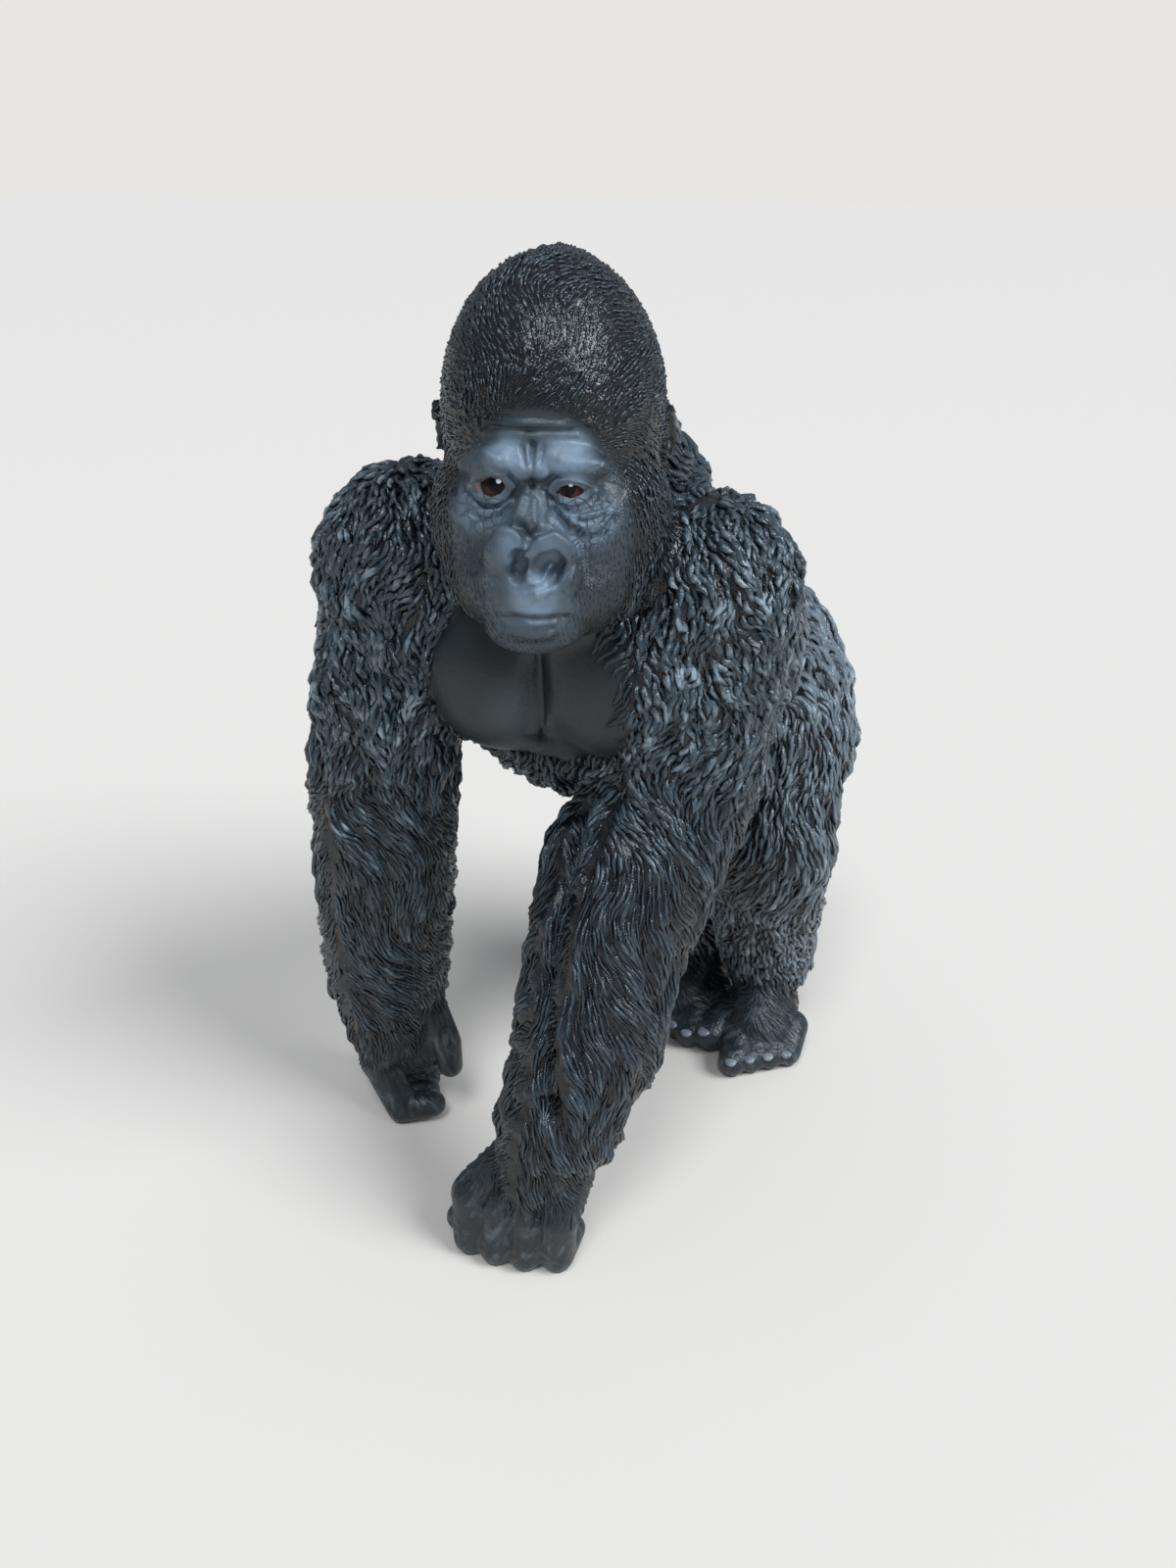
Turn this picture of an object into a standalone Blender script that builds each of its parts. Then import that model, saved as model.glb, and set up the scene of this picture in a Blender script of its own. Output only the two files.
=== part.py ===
import math

import bmesh
import bpy
import numpy as np
from mathutils import Matrix, Vector, kdtree

# A great ape walking on its knuckles, moulded in one solid piece of vinyl
# Sizes are in millimetres and become metres at the very end
# +X is the left side of the animal, -Y is where it walks to, +Z is up, z = 0 is the ground

# How finely the skin is built
MM = 0.001
VOXEL = 0.42
BODY_SMOOTHING = 16
FINE_SMOOTHING = 2
TRIANGLES = 11800
DETAIL = 1.5

# Head and face, the face in head coordinates: x left, y back, z up from HEAD_AT
HEAD_AT = (0.55, -18.3, 71.0)
HEAD_TURN = 18.0
HEAD_HALF_WIDTH = 9.2
CREST_RISE = 6.6
FACE_MIDDLE = -0.35
BROW_HEIGHT = 0.85
EYE_GAP = 2.6
EYE_HEIGHT = -0.95
EYE_RADIUS = 1.6
NOSE_HALF_WIDTH = 1.4
NOSE_HEIGHT = -4.9
MOUTH_HEIGHT = -9.5
MOUTH_HALF_WIDTH = 3.4
EAR_RISE = 0.8

# Trunk
CHEST_AT = (-0.8, -9.5, 55.5)
BELLY_AT = (2.5, 2.5, 49.0)
RUMP_AT = (3.8, 12.5, 44.5)
NECK_THICK = 10.3
BACK_SLOPE = 24.0
CLEFT_DEPTH = 1.5

# Limbs, as the points each one runs through and its half thickness there
ARM_LEFT = [(11.4, -11.5, 58.6), (10.2, -12.0, 50.5), (9.2, -12.6, 41.5),
            (6.2, -19.6, 30.0), (6.0, -24.2, 21.0), (4.2, -27.4, 13.5), (3.4, -28.8, 9.0)]
ARM_LEFT_THICK = [7.3, 7.4, 7.2, 7.2, 6.7, 5.4, 4.2]
ARM_RIGHT = [(-13.8, -16.4, 57.8), (-15.5, -18.6, 48.5), (-17.4, -18.6, 37.0),
             (-18.4, -17.8, 26.0), (-19.2, -17.5, 16.5), (-19.0, -17.9, 10.5)]
ARM_RIGHT_THICK = [7.2, 6.7, 6.7, 6.6, 6.0, 4.6]
LEG_LEFT = [(9.8, 13.5, 41.0), (13.2, 5.0, 27.5), (12.6, 9.6, 16.0), (12.4, 12.6, 8.0)]
LEG_LEFT_THICK = [8.8, 7.0, 5.8, 4.8]
LEG_RIGHT = [(-1.0, 14.5, 41.0), (-0.8, 8.0, 27.5), (1.8, 12.5, 16.0), (3.2, 15.0, 8.0)]
LEG_RIGHT_THICK = [8.8, 6.6, 5.6, 4.9]

# Hands and feet
FINGER = 1.6
KNUCKLE_SPREAD = 1.0
FOOT_LENGTH = 19.0
FOOT_THICK = 3.1
TOE = 1.45
TOE_SPREAD = 1.85
SOLE = 0.3

# Fur
TUFT_STEP = 2.7
TUFT_LENGTH = 6.2
TUFT_WIDTH = 2.1
TUFT_RELIEF = 1.15

DOWN = np.array([0.0, 0.0, -1.0])
UP = np.array([0.0, 0.0, 1.0])


def clear_scene():
    for item in list(bpy.data.objects):
        bpy.data.objects.remove(item, do_unlink=True)


def unit(v):
    v = np.asarray(v, dtype=float)
    return v / max(np.linalg.norm(v), 1e-9)


def beside(point, offset):
    return np.array(point, dtype=float) + np.array(offset, dtype=float)


# An egg: centre, three radii, the directions of its axes, and how hair lies on it
class Egg:

    def __init__(self, at, radii, turn=None, grain=None):
        self.at = np.array(at, dtype=float)
        self.radii = np.array(radii, dtype=float)
        self.turn = np.eye(3) if turn is None else np.array(turn, dtype=float)
        self.grain = grain

    def build(self, bm):
        place = Matrix.Translation(Vector(self.at)) @ Matrix(self.turn.tolist()).to_4x4()
        size = Matrix.Diagonal((*self.radii, 1.0))
        bmesh.ops.create_icosphere(bm, subdivisions=4, radius=1.0, matrix=place @ size)

    def distance(self, points):
        local = (points - self.at) @ self.turn
        first = np.sqrt(((local / self.radii) ** 2).sum(axis=-1)) + 1e-6
        second = np.sqrt(((local / self.radii ** 2) ** 2).sum(axis=-1)) + 1e-6
        return first * (first - 1.0) / second


# A rod with two round ends of different thickness
class Rod:

    def __init__(self, start, end, thick_start, thick_end, grain=None):
        self.start = np.array(start, dtype=float)
        self.end = np.array(end, dtype=float)
        self.thick = (thick_start, thick_end)
        self.grain = unit(self.end - self.start) if grain is None else grain

    def build(self, bm):
        along = Vector(self.end - self.start)
        turn = along.to_track_quat("Z", "Y").to_matrix().to_4x4()
        place = Matrix.Translation(Vector((self.start + self.end) / 2)) @ turn
        bmesh.ops.create_cone(bm, cap_ends=True, segments=32, radius1=self.thick[0],
                              radius2=self.thick[1], depth=along.length, matrix=place)
        for end, thick in ((self.start, self.thick[0]), (self.end, self.thick[1])):
            bmesh.ops.create_icosphere(bm, subdivisions=3, radius=thick,
                                       matrix=Matrix.Translation(Vector(end)))

    def distance(self, points):
        along = self.end - self.start
        part = ((points - self.start) @ along) / max(along @ along, 1e-9)
        part = np.clip(part, 0.0, 1.0)
        nearest = self.start + part[..., None] * along
        gap = np.linalg.norm(points - nearest, axis=-1)
        return gap - (self.thick[0] + part * (self.thick[1] - self.thick[0]))


def chain(points, thick):
    return [Rod(points[i], points[i + 1], thick[i], thick[i + 1]) for i in range(len(points) - 1)]


# Turns head coordinates into the place on the figure
turned = math.radians(HEAD_TURN)
HEAD_AXES = np.array([[math.cos(turned), -math.sin(turned), 0.0],
                      [math.sin(turned), math.cos(turned), 0.0],
                      [0.0, 0.0, 1.0]])


def on_head(x, y, z):
    return np.array(HEAD_AT) + HEAD_AXES @ np.array([x, y, z], dtype=float)


def head_egg(at, radii, roll=0.0, grain=None):
    r = math.radians(roll)
    lean = np.array([[math.cos(r), 0, math.sin(r)], [0, 1, 0], [-math.sin(r), 0, math.cos(r)]])
    return Egg(on_head(*at), radii, HEAD_AXES @ lean, grain)


def face_egg(at, radii, roll=0.0):
    return head_egg((at[0] + FACE_MIDDLE, at[1], at[2]), radii, roll)


def trunk_forms():
    slope = math.radians(BACK_SLOPE)
    sloped = np.array([[1, 0, 0], [0, math.cos(slope), math.sin(slope)],
                       [0, -math.sin(slope), math.cos(slope)]])
    back = unit(sloped @ np.array([0.1, 1.0, 0.0]))
    neck = Rod(beside(CHEST_AT, (0.2, 2.5, 6.5)), on_head(0.6, 5.0, 1.4),
               NECK_THICK, NECK_THICK * 0.7, unit((0, 0.8, -0.5)))
    return [Egg(CHEST_AT, (15.0, 12.3, 12.6), grain=unit((0, 0.6, -0.8))),
            Egg(beside(CHEST_AT, (0.2, 2.5, -6.5)), (12.8, 12.0, 11.8), grain=unit((0, 0.7, -0.5))),
            Egg(beside(CHEST_AT, (-2.6, 0.5, 7.7)), (12.6, 8.8, 6.3), grain=unit((0, 0.9, -0.3))),
            Egg(BELLY_AT, (13.2, 15.0, 11.6), grain=unit((0.1, 0.7, -0.5))),
            Egg(beside(BELLY_AT, (-1.5, -1.5, 6.6)), (12.8, 15.5, 8.6), sloped, back),
            Egg(RUMP_AT, (13.0, 9.8, 10.6), grain=unit((0.1, 0.3, -0.9))),
            neck]


def chest_forms():
    return [Egg(beside(CHEST_AT, (6.4, -6.1, -2.9)), (8.8, 6.7, 7.6)),
            Egg(beside(CHEST_AT, (-4.2, -7.3, -3.3)), (8.4, 6.7, 7.6)),
            Egg(beside(CHEST_AT, (1.4, -6.0, 2.5)), (9.0, 6.4, 5.5))]


def arm_forms():
    return chain(ARM_LEFT, ARM_LEFT_THICK) + chain(ARM_RIGHT, ARM_RIGHT_THICK) + [
        Egg(beside(ARM_LEFT[0], (-0.4, 0.5, 0.0)), (7.4, 8.6, 8.2), grain=DOWN),
        Egg(beside(ARM_LEFT[2], (1.4, 2.4, 4.0)), (5.7, 5.7, 6.4), grain=DOWN),
        Egg(beside(ARM_LEFT[3], (-2.8, 2.5, 3.7)), (4.8, 5.2, 7.2), grain=unit((0, -0.5, -0.9))),
        Egg(beside(ARM_LEFT[5], (3.3, 0.9, -1.2)), (2.5, 3.0, 2.4), grain=DOWN),
        Egg(beside(ARM_LEFT[5], (-0.4, -2.0, -1.4)), (4.2, 3.0, 2.4), grain=DOWN),
        Egg(beside(ARM_RIGHT[0], (0.2, 0.4, 1.0)), (7.4, 8.6, 8.4), grain=DOWN),
        Egg(beside(ARM_RIGHT[2], (-0.4, 2.8, -1.0)), (6.0, 6.0, 7.8), grain=DOWN),
        Egg(beside(ARM_RIGHT[4], (3.2, -0.3, -1.0)), (2.6, 3.6, 3.4), grain=DOWN)]


def leg_forms():
    return chain(LEG_LEFT, LEG_LEFT_THICK) + chain(LEG_RIGHT, LEG_RIGHT_THICK) + [
        Egg(beside(LEG_LEFT[0], (2.4, -2.0, -4.5)), (7.6, 9.4, 9.4), grain=DOWN),
        Egg(beside(LEG_RIGHT[0], (-1.4, -3.0, -4.5)), (7.6, 9.4, 9.4), grain=DOWN)]


def head_forms():
    back = unit((0, 0.95, 0.3))
    return [head_egg((0.0, 0.8, 2.8), (8.7, 9.9, 11.2), grain=back),
            head_egg((0.1, 3.2, CREST_RISE), (5.9, 7.6, 7.4), grain=back),
            head_egg((0, -1.6, -4.8), (HEAD_HALF_WIDTH, 8.5, 8.2), grain=DOWN),
            head_egg((0, -4.6, -8.4), (HEAD_HALF_WIDTH - 1.6, 6.5, 4.8), grain=DOWN),
            face_egg((0, -7.6, MOUTH_HEIGHT + 1.7), (5.3, 4.8, 4.5))]


# Brow, cheeks, eyeballs, nose, lips and chin, laid onto the smooth head
def face_forms():
    bridge_top = on_head(FACE_MIDDLE, -8.3, EYE_HEIGHT + 0.4)
    bridge_end = on_head(FACE_MIDDLE, -10.6, NOSE_HEIGHT + 1.3)
    forms = [face_egg((0, -8.5, BROW_HEIGHT - 0.35), (1.5, 1.3, 1.4)),
             Rod(bridge_top, bridge_end, 0.9, 1.1),
             face_egg((0, -11.3, NOSE_HEIGHT - 1.2), (1.7, 1.4, 1.1)),
             face_egg((0, -10.6, MOUTH_HEIGHT + 1.6), (MOUTH_HALF_WIDTH, 1.9, 1.6)),
             face_egg((0, -10.1, MOUTH_HEIGHT - 0.9), (MOUTH_HALF_WIDTH, 1.9, 1.1)),
             face_egg((0, -8.8, MOUTH_HEIGHT - 1.7), (3.7, 2.7, 1.8))]
    for side in (-1, 1):
        forms += [face_egg((side * EYE_GAP, -8.0, BROW_HEIGHT), (2.9, 1.8, 1.1), roll=side * 14),
                  face_egg((side * 3.8, -6.9, EYE_HEIGHT - 2.3), (2.7, 1.9, 1.9)),
                  face_egg((side * EYE_GAP, -7.8, EYE_HEIGHT), (EYE_RADIUS,) * 3),
                  face_egg((side * NOSE_HALF_WIDTH, -11.0, NOSE_HEIGHT), (1.65, 1.6, 1.85)),
                  head_egg((side * (HEAD_HALF_WIDTH - 0.9), 2.0, EAR_RISE), (0.9, 1.6, 2.2))]
    return forms


# A hand: its back, four bent fingers that rest on their middle joints, and the thumb
def hand_forms(wrist, row, spread, bend, tuck, thumb):
    forms = chain([beside(wrist, point) for point in thumb], [1.75, 1.55, 1.3])
    spread, bend, tuck = np.array(spread) * KNUCKLE_SPREAD, np.array(bend), np.array(tuck)
    for n in range(4):
        knuckle = beside(wrist, row) + spread * (n - 1.5)
        middle = knuckle + bend - unit(tuck) * (0.4, 0.8, 0.6, -0.2)[n]
        middle[2] = FINGER - 0.1
        forms += [Rod(wrist + spread * (n - 1.5) * 0.6, knuckle, 2.5, FINGER + 0.4),
                  Rod(knuckle, middle, FINGER + 0.3, FINGER),
                  Rod(middle, middle + tuck, FINGER, FINGER - 0.2)]
    return forms


def hands():
    left = hand_forms(ARM_LEFT[-1], (-1.5, -2.4, -3.0), (2.75, 0.25, -0.1), (0.0, -0.4, -4.0),
                      (-0.2, 3.4, -0.2), [(-2.4, 0.4, -4.6), (-5.0, -1.0, -6.6), (-7.6, -2.0, -7.4)])
    right = hand_forms(ARM_RIGHT[-1], (-2.6, 0.7, -3.9), (-1.2, 1.7, 0.0), (3.0, -0.2, -4.6),
                       (2.9, 1.4, 0.4), [(4.4, 0.7, 2.5), (6.1, 0.5, -1.1), (6.6, 0.2, -3.6)])
    return left + right + [Egg(beside(ARM_RIGHT[-1], (2.0, 1.3, -1.9)), (3.6, 3.6, 4.8))]


# A foot: heel, sole, four toes in a slanting row and the big toe set apart
def foot_forms(ankle, ahead, outward):
    ahead, outward = unit(ahead), unit(outward)
    heel = np.array([ankle[0], ankle[1], FOOT_THICK - 0.2]) - ahead * 3.8
    ball = heel + ahead * (FOOT_LENGTH * 0.55)
    thumb = heel + ahead * (FOOT_LENGTH * 0.38) - outward * 2.4
    forms = [Rod(heel, ball, FOOT_THICK + 0.4, FOOT_THICK),
             Rod(heel + ahead * 5.0 + outward, ball + outward * 1.4, FOOT_THICK, FOOT_THICK - 0.3),
             Rod(heel + ahead * 4.0 + UP * 3.2, ball + UP * 0.8, FOOT_THICK + 0.4, FOOT_THICK - 0.4),
             Rod(thumb, thumb + ahead * 4.6 - outward * 2.4 - UP, TOE + 0.85, TOE + 0.35)]
    for n in range(4):
        root = ball + outward * (n * TOE_SPREAD - 1.6) - ahead * (n * 0.5)
        forms.append(Rod(root, root + ahead * (5.0 - n * 0.65) - UP * 1.3, TOE + 0.4, TOE + 0.1))
    return forms


def feet():
    left = foot_forms(LEG_LEFT[-1], (0.13, -1.0, 0.0), (1.0, 0.13, 0.0))
    right = foot_forms(LEG_RIGHT[-1], (0.12, -1.0, 0.0), (-1.0, -0.12, 0.0))
    return left + right


def add_modifier(item, kind, **values):
    modifier = item.modifiers.new(kind.title(), kind)
    for name, value in values.items():
        setattr(modifier, name, value)
    return modifier


def apply_modifiers(item):
    graph = bpy.context.evaluated_depsgraph_get()
    mesh = bpy.data.meshes.new_from_object(item.evaluated_get(graph))
    item.modifiers.clear()
    item.data = mesh


# Adds forms to the figure as primitives, then fuses the lot into one skin and smooths the joins
def fuse(item, forms, smoothing):
    bm = bmesh.new()
    bm.from_mesh(item.data)
    for form in forms:
        form.build(bm)
    bm.to_mesh(item.data)
    bm.free()
    add_modifier(item, "REMESH", mode="VOXEL", voxel_size=VOXEL)
    add_modifier(item, "SMOOTH", factor=0.5, iterations=smoothing)
    apply_modifiers(item)


def vertex_table(item):
    count = len(item.data.vertices)
    places = np.empty(count * 3, dtype=np.float32)
    item.data.vertices.foreach_get("co", places)
    normals = np.empty(count * 3, dtype=np.float32)
    item.data.vertices.foreach_get("normal", normals)
    return places.reshape(-1, 3).astype(float), normals.reshape(-1, 3).astype(float)


def move_vertices(item, places):
    item.data.vertices.foreach_set("co", places.astype(np.float32).ravel())
    item.data.update()


# Pushes the skin in around some forms, most at the forms themselves and fading out over a soft edge
def press(item, forms, push, soft):
    places, normals = vertex_table(item)
    gap = np.min([form.distance(places) for form in forms], axis=0)
    near = np.clip(1.0 - gap / soft, 0.0, 1.0)
    near = near * near * (3.0 - 2.0 * near)
    move_vertices(item, places + near[:, None] * np.asarray(push)[None, :])


# Eye sockets and the cleft of the chest
def press_body(item):
    inward = HEAD_AXES @ np.array([0.0, 1.0, 0.0])
    for side in (-1, 1):
        at = (side * (EYE_GAP + 0.15), -9.6, EYE_HEIGHT)
        press(item, [face_egg(at, (1.4, 1.6, 0.5), roll=side * 6)], inward * 1.3, 1.3)
    cleft = Rod(beside(CHEST_AT, (1.4, -13.4, 1.5)), beside(CHEST_AT, (1.1, -12.9, -7.0)), 0.2, 0.2)
    press(item, [cleft], (0.0, CLEFT_DEPTH, 0.0), 1.6)


# Nostrils, the hollows of the ears and the line of the mouth
def press_face(item):
    inward = HEAD_AXES @ np.array([0.0, 1.0, 0.0])
    for side in (-1, 1):
        nostril = face_egg((side * NOSE_HALF_WIDTH, -12.6, NOSE_HEIGHT - 0.5), (0.35, 0.6, 0.25))
        press(item, [nostril], inward * 0.8, 0.9)
        ear = head_egg((side * HEAD_HALF_WIDTH, 1.8, EAR_RISE), (0.3, 0.5, 1.0))
        press(item, [ear], HEAD_AXES @ np.array([-side * 0.8, 0.0, 0.0]), 0.6)
    lips = [face_egg((x, y, MOUTH_HEIGHT + z), (1, 1, 1)).at
            for x, y, z in ((-MOUTH_HALF_WIDTH, -9.8, -0.3), (-1.6, -11.4, 0.0),
                            (1.6, -11.4, 0.0), (MOUTH_HALF_WIDTH, -9.8, -0.3))]
    press(item, chain(lips, [0.05] * len(lips)), inward * 0.7, 0.8)


# How the hair lies at each place: the directions of the forms near it, mixed by closeness
def hair_lie(points, forms):
    total = np.zeros_like(points)
    for form in forms:
        if form.grain is None:
            continue
        near = np.exp(-np.maximum(form.distance(points) + 0.5, 0.0) / 1.3)
        total += near[:, None] * np.asarray(form.grain)[None, :]
    return total / np.maximum(np.linalg.norm(total, axis=1), 1e-9)[:, None]


# 0 on the bare skin of the face, chest, hands and feet, 1 where there is fur
def fur_amount(points):
    amount = np.ones(len(points))
    face = Egg(on_head(0, -9.5, -4.6), (6.4, 6.4, 9.2), HEAD_AXES)
    chest = Egg(beside(CHEST_AT, (1.4, -13.5, -3.5)), (10.5, 7.0, 9.5))
    for form in (face, chest):
        amount *= np.clip(form.distance(points) / 1.6, 0.0, 1.0)
    for form in hands() + feet():
        amount *= np.clip(form.distance(points) - 0.2, 0.0, 1.0)
    return amount * np.clip(points[:, 2] / 2.0 - 0.5, 0.0, 1.0)


# Hair is short and fine on the head, long on the shoulders and limbs
def tuft_size(points):
    head = Egg(on_head(0, 0, 0), (9.5, 10.5, 14.0), HEAD_AXES)
    return np.clip(0.5 + head.distance(points) / 5.0, 0.5, 1.0)


# The direction along the hair and the one across it, in the plane of the skin, a little astray
def lock_axes(lie, normal, rng):
    away = lie - normal * (lie @ normal)
    if np.linalg.norm(away) < 0.15:
        away = DOWN - normal * (DOWN @ normal)
    away = unit(away)
    across = np.cross(normal, away)
    swing = rng.uniform(-0.35, 0.35)
    return (away * math.cos(swing) + across * math.sin(swing),
            across * math.cos(swing) - away * math.sin(swing))


# Short locks laid like shingles: each swells towards its tip and drops off behind it
def tufts(points, normals, lie, amount, fine, seed):
    rng = np.random.default_rng(seed)
    order = rng.permutation(np.flatnonzero(amount > 0.15))
    tree = kdtree.KDTree(len(points))
    for i, point in enumerate(points):
        tree.insert(point, i)
    tree.balance()
    height = np.zeros(len(points))
    taken = np.zeros(len(points), dtype=bool)
    for i in order:
        if taken[i]:
            continue
        away, across = lock_axes(lie[i], normals[i], rng)
        scale = rng.uniform(0.8, 1.25)
        length = TUFT_LENGTH * scale
        width = TUFT_WIDTH * rng.uniform(0.8, 1.2)
        ids = np.array([hit[1] for hit in tree.find_range(points[i], length)])
        gap = points[ids] - points[i]
        taken[ids[np.linalg.norm(gap, axis=1) < TUFT_STEP * fine[i]]] = True
        s = gap @ away / (length * fine[i]) + 0.45
        t = gap @ across / (width * fine[i])
        body = np.clip(s, 0.0, 1.0) * np.clip((1.0 - s) / 0.3, 0.0, 1.0)
        narrow = 1.0 - 0.55 * np.clip(s, 0.0, 1.0) ** 2
        ridge = np.clip(1.0 - np.abs(t / narrow) ** 2, 0.0, 1.0)
        facing = normals[ids] @ normals[i] > 0.2
        lift = body * ridge * facing * scale * fine[i] * amount[ids] * TUFT_RELIEF
        height[ids] = np.maximum(height[ids], lift)
    return height


def press_soles_flat(places):
    places[:, 2] = np.where(places[:, 2] < SOLE, 0.0, places[:, 2])
    return places


# Raises the fur and presses the soles flat
def add_fur(item):
    places, normals = vertex_table(item)
    lie = hair_lie(places, trunk_forms() + arm_forms() + leg_forms() + head_forms())
    amount = fur_amount(places)
    lift = tufts(places, normals, lie, amount, tuft_size(places), 7) - 0.35 * TUFT_RELIEF * amount
    move_vertices(item, press_soles_flat(places + normals * lift[:, None]))


# Fewer triangles, but more of them kept on the face
def thin_out(item):
    places, normals = vertex_table(item)
    group = item.vertex_groups.new(name="coarse")
    face = Egg(on_head(0, -8.5, -4.6), (7.5, 6.5, 9.6), HEAD_AXES).distance(places)
    coarse = np.round(np.clip(face / 2.0, 0.1, 1.0) * 10).astype(int)
    for level in range(1, 11):
        group.add(np.flatnonzero(coarse == level).tolist(), level / 10.0, "REPLACE")
    faces = sum(len(face.vertices) - 2 for face in item.data.polygons)
    add_modifier(item, "DECIMATE", ratio=TRIANGLES / faces, vertex_group="coarse",
                 vertex_group_factor=DETAIL, use_collapse_triangulate=True)
    apply_modifiers(item)
    item.vertex_groups.clear()


def vinyl():
    material = bpy.data.materials.new("vinyl")
    material.use_nodes = True
    shader = material.node_tree.nodes["Principled BSDF"]
    shader.inputs["Base Color"].default_value = (0.035, 0.038, 0.044, 1.0)
    shader.inputs["Roughness"].default_value = 0.45
    return material


# Centres the figure over the origin, in metres
def settle(item):
    places, normals = vertex_table(item)
    places = press_soles_flat(places)
    low, high = places.min(axis=0), places.max(axis=0)
    middle = np.array([(low[0] + high[0]) / 2, (low[1] + high[1]) / 2, 0.0])
    move_vertices(item, (places - middle) * MM)
    return middle


def main():
    clear_scene()
    item = bpy.data.objects.new("gorilla", bpy.data.meshes.new("gorilla"))
    bpy.context.collection.objects.link(item)
    fuse(item, trunk_forms() + chest_forms() + arm_forms() + leg_forms() + head_forms(), BODY_SMOOTHING)
    press_body(item)
    fuse(item, face_forms() + hands() + feet(), FINE_SMOOTHING)
    press_face(item)
    add_fur(item)
    thin_out(item)
    middle = settle(item)
    item.data.shade_smooth()
    item.data.materials.append(vinyl())
    print("moved by", middle, "triangles", len(item.data.polygons))


if __name__ == "__main__":
    main()
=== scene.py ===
import math

import bmesh
import bpy
import numpy as np
from mathutils import Matrix, Vector, kdtree


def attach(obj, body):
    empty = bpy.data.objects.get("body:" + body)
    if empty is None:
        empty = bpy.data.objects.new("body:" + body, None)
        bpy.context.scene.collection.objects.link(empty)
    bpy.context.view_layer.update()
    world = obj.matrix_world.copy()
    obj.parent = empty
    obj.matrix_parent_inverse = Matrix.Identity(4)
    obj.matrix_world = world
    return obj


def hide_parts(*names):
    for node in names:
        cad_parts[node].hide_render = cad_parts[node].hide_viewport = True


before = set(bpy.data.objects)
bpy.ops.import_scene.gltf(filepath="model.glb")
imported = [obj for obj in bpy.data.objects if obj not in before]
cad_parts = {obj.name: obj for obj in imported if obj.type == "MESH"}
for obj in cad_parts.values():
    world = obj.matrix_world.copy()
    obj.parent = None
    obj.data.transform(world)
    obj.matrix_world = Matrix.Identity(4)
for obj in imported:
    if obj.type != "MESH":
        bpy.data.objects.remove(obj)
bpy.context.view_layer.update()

# The figurine is modelled in millimetres over its own ground point, then moved to where the solid stands
figure = {
    "millimetre": 0.001,
    "shift": (2.5005, 5.3126, 0.0),
    "bodyVoxel": 0.42,
    "fineVoxel": 0.27,
    "bodySmoothing": 16,
    "fineSmoothing": 5,
    "sole": 0.3,
    "triangles": 194000,
}

headShape = {
    "at": (0.55, -18.3, 71.0),
    "turn": 18.0,
    "halfWidth": 9.2,
    "crestRise": 6.6,
    "faceMiddle": -0.35,
    "browHeight": 0.85,
    "eyeGap": 2.6,
    "eyeHeight": -0.95,
    "eyeRadius": 1.6,
    "noseHalfWidth": 1.4,
    "noseHeight": -4.9,
    "mouthHeight": -9.5,
    "mouthHalfWidth": 3.0,
    "earRise": 0.8,
}

trunkShape = {
    "chestAt": (-0.8, -9.5, 55.5),
    "bellyAt": (2.5, 2.5, 49.0),
    "rumpAt": (3.8, 12.5, 44.5),
    "neckThick": 10.3,
    "backSlope": 24.0,
}

limbs = {
    "armLeft": [(11.4, -11.5, 58.6), (10.2, -12.0, 50.5), (9.2, -12.6, 41.5),
                (6.2, -19.6, 30.0), (6.0, -24.2, 21.0), (4.2, -27.4, 13.5), (3.4, -28.8, 9.0)],
    "armLeftThick": [7.3, 7.4, 7.2, 7.2, 6.7, 5.4, 4.2],
    "armRight": [(-13.8, -16.4, 57.8), (-15.5, -18.6, 48.5), (-17.4, -18.6, 37.0),
                 (-18.4, -17.8, 26.0), (-19.2, -17.5, 16.5), (-19.0, -17.9, 10.5)],
    "armRightThick": [7.2, 6.7, 6.7, 6.6, 6.0, 4.6],
    "legLeft": [(9.8, 13.5, 41.0), (13.2, 5.0, 27.5), (12.6, 9.6, 16.0), (12.4, 12.6, 8.0)],
    "legLeftThick": [8.8, 7.0, 5.8, 4.8],
    "legRight": [(-1.0, 14.5, 41.0), (-0.8, 8.0, 27.5), (1.8, 12.5, 16.0), (3.2, 15.0, 8.0)],
    "legRightThick": [8.8, 6.6, 5.6, 4.9],
    "finger": 1.6,
    "footLength": 19.0,
    "footThick": 3.1,
    "toe": 1.45,
    "toeSpread": 1.85,
}

down = np.array([0.0, 0.0, -1.0])
up = np.array([0.0, 0.0, 1.0])


def unit(v):
    v = np.asarray(v, dtype=float)
    return v / max(np.linalg.norm(v), 1e-9)


def beside(point, offset):
    return np.array(point, dtype=float) + np.array(offset, dtype=float)


# An egg: centre, three radii, the directions of its axes, and how hair lies on it
class Egg:

    def __init__(self, at, radii, turn=None, grain=None):
        self.at = np.array(at, dtype=float)
        self.radii = np.array(radii, dtype=float)
        self.turn = np.eye(3) if turn is None else np.array(turn, dtype=float)
        self.grain = grain

    def build(self, bm):
        place = Matrix.Translation(Vector(self.at)) @ Matrix(self.turn.tolist()).to_4x4()
        size = Matrix.Diagonal((*self.radii, 1.0))
        bmesh.ops.create_icosphere(bm, subdivisions=5, radius=1.0, matrix=place @ size)

    def distance(self, points):
        local = (points - self.at) @ self.turn
        first = np.sqrt(((local / self.radii) ** 2).sum(axis=-1)) + 1e-6
        second = np.sqrt(((local / self.radii ** 2) ** 2).sum(axis=-1)) + 1e-6
        return first * (first - 1.0) / second


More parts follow.
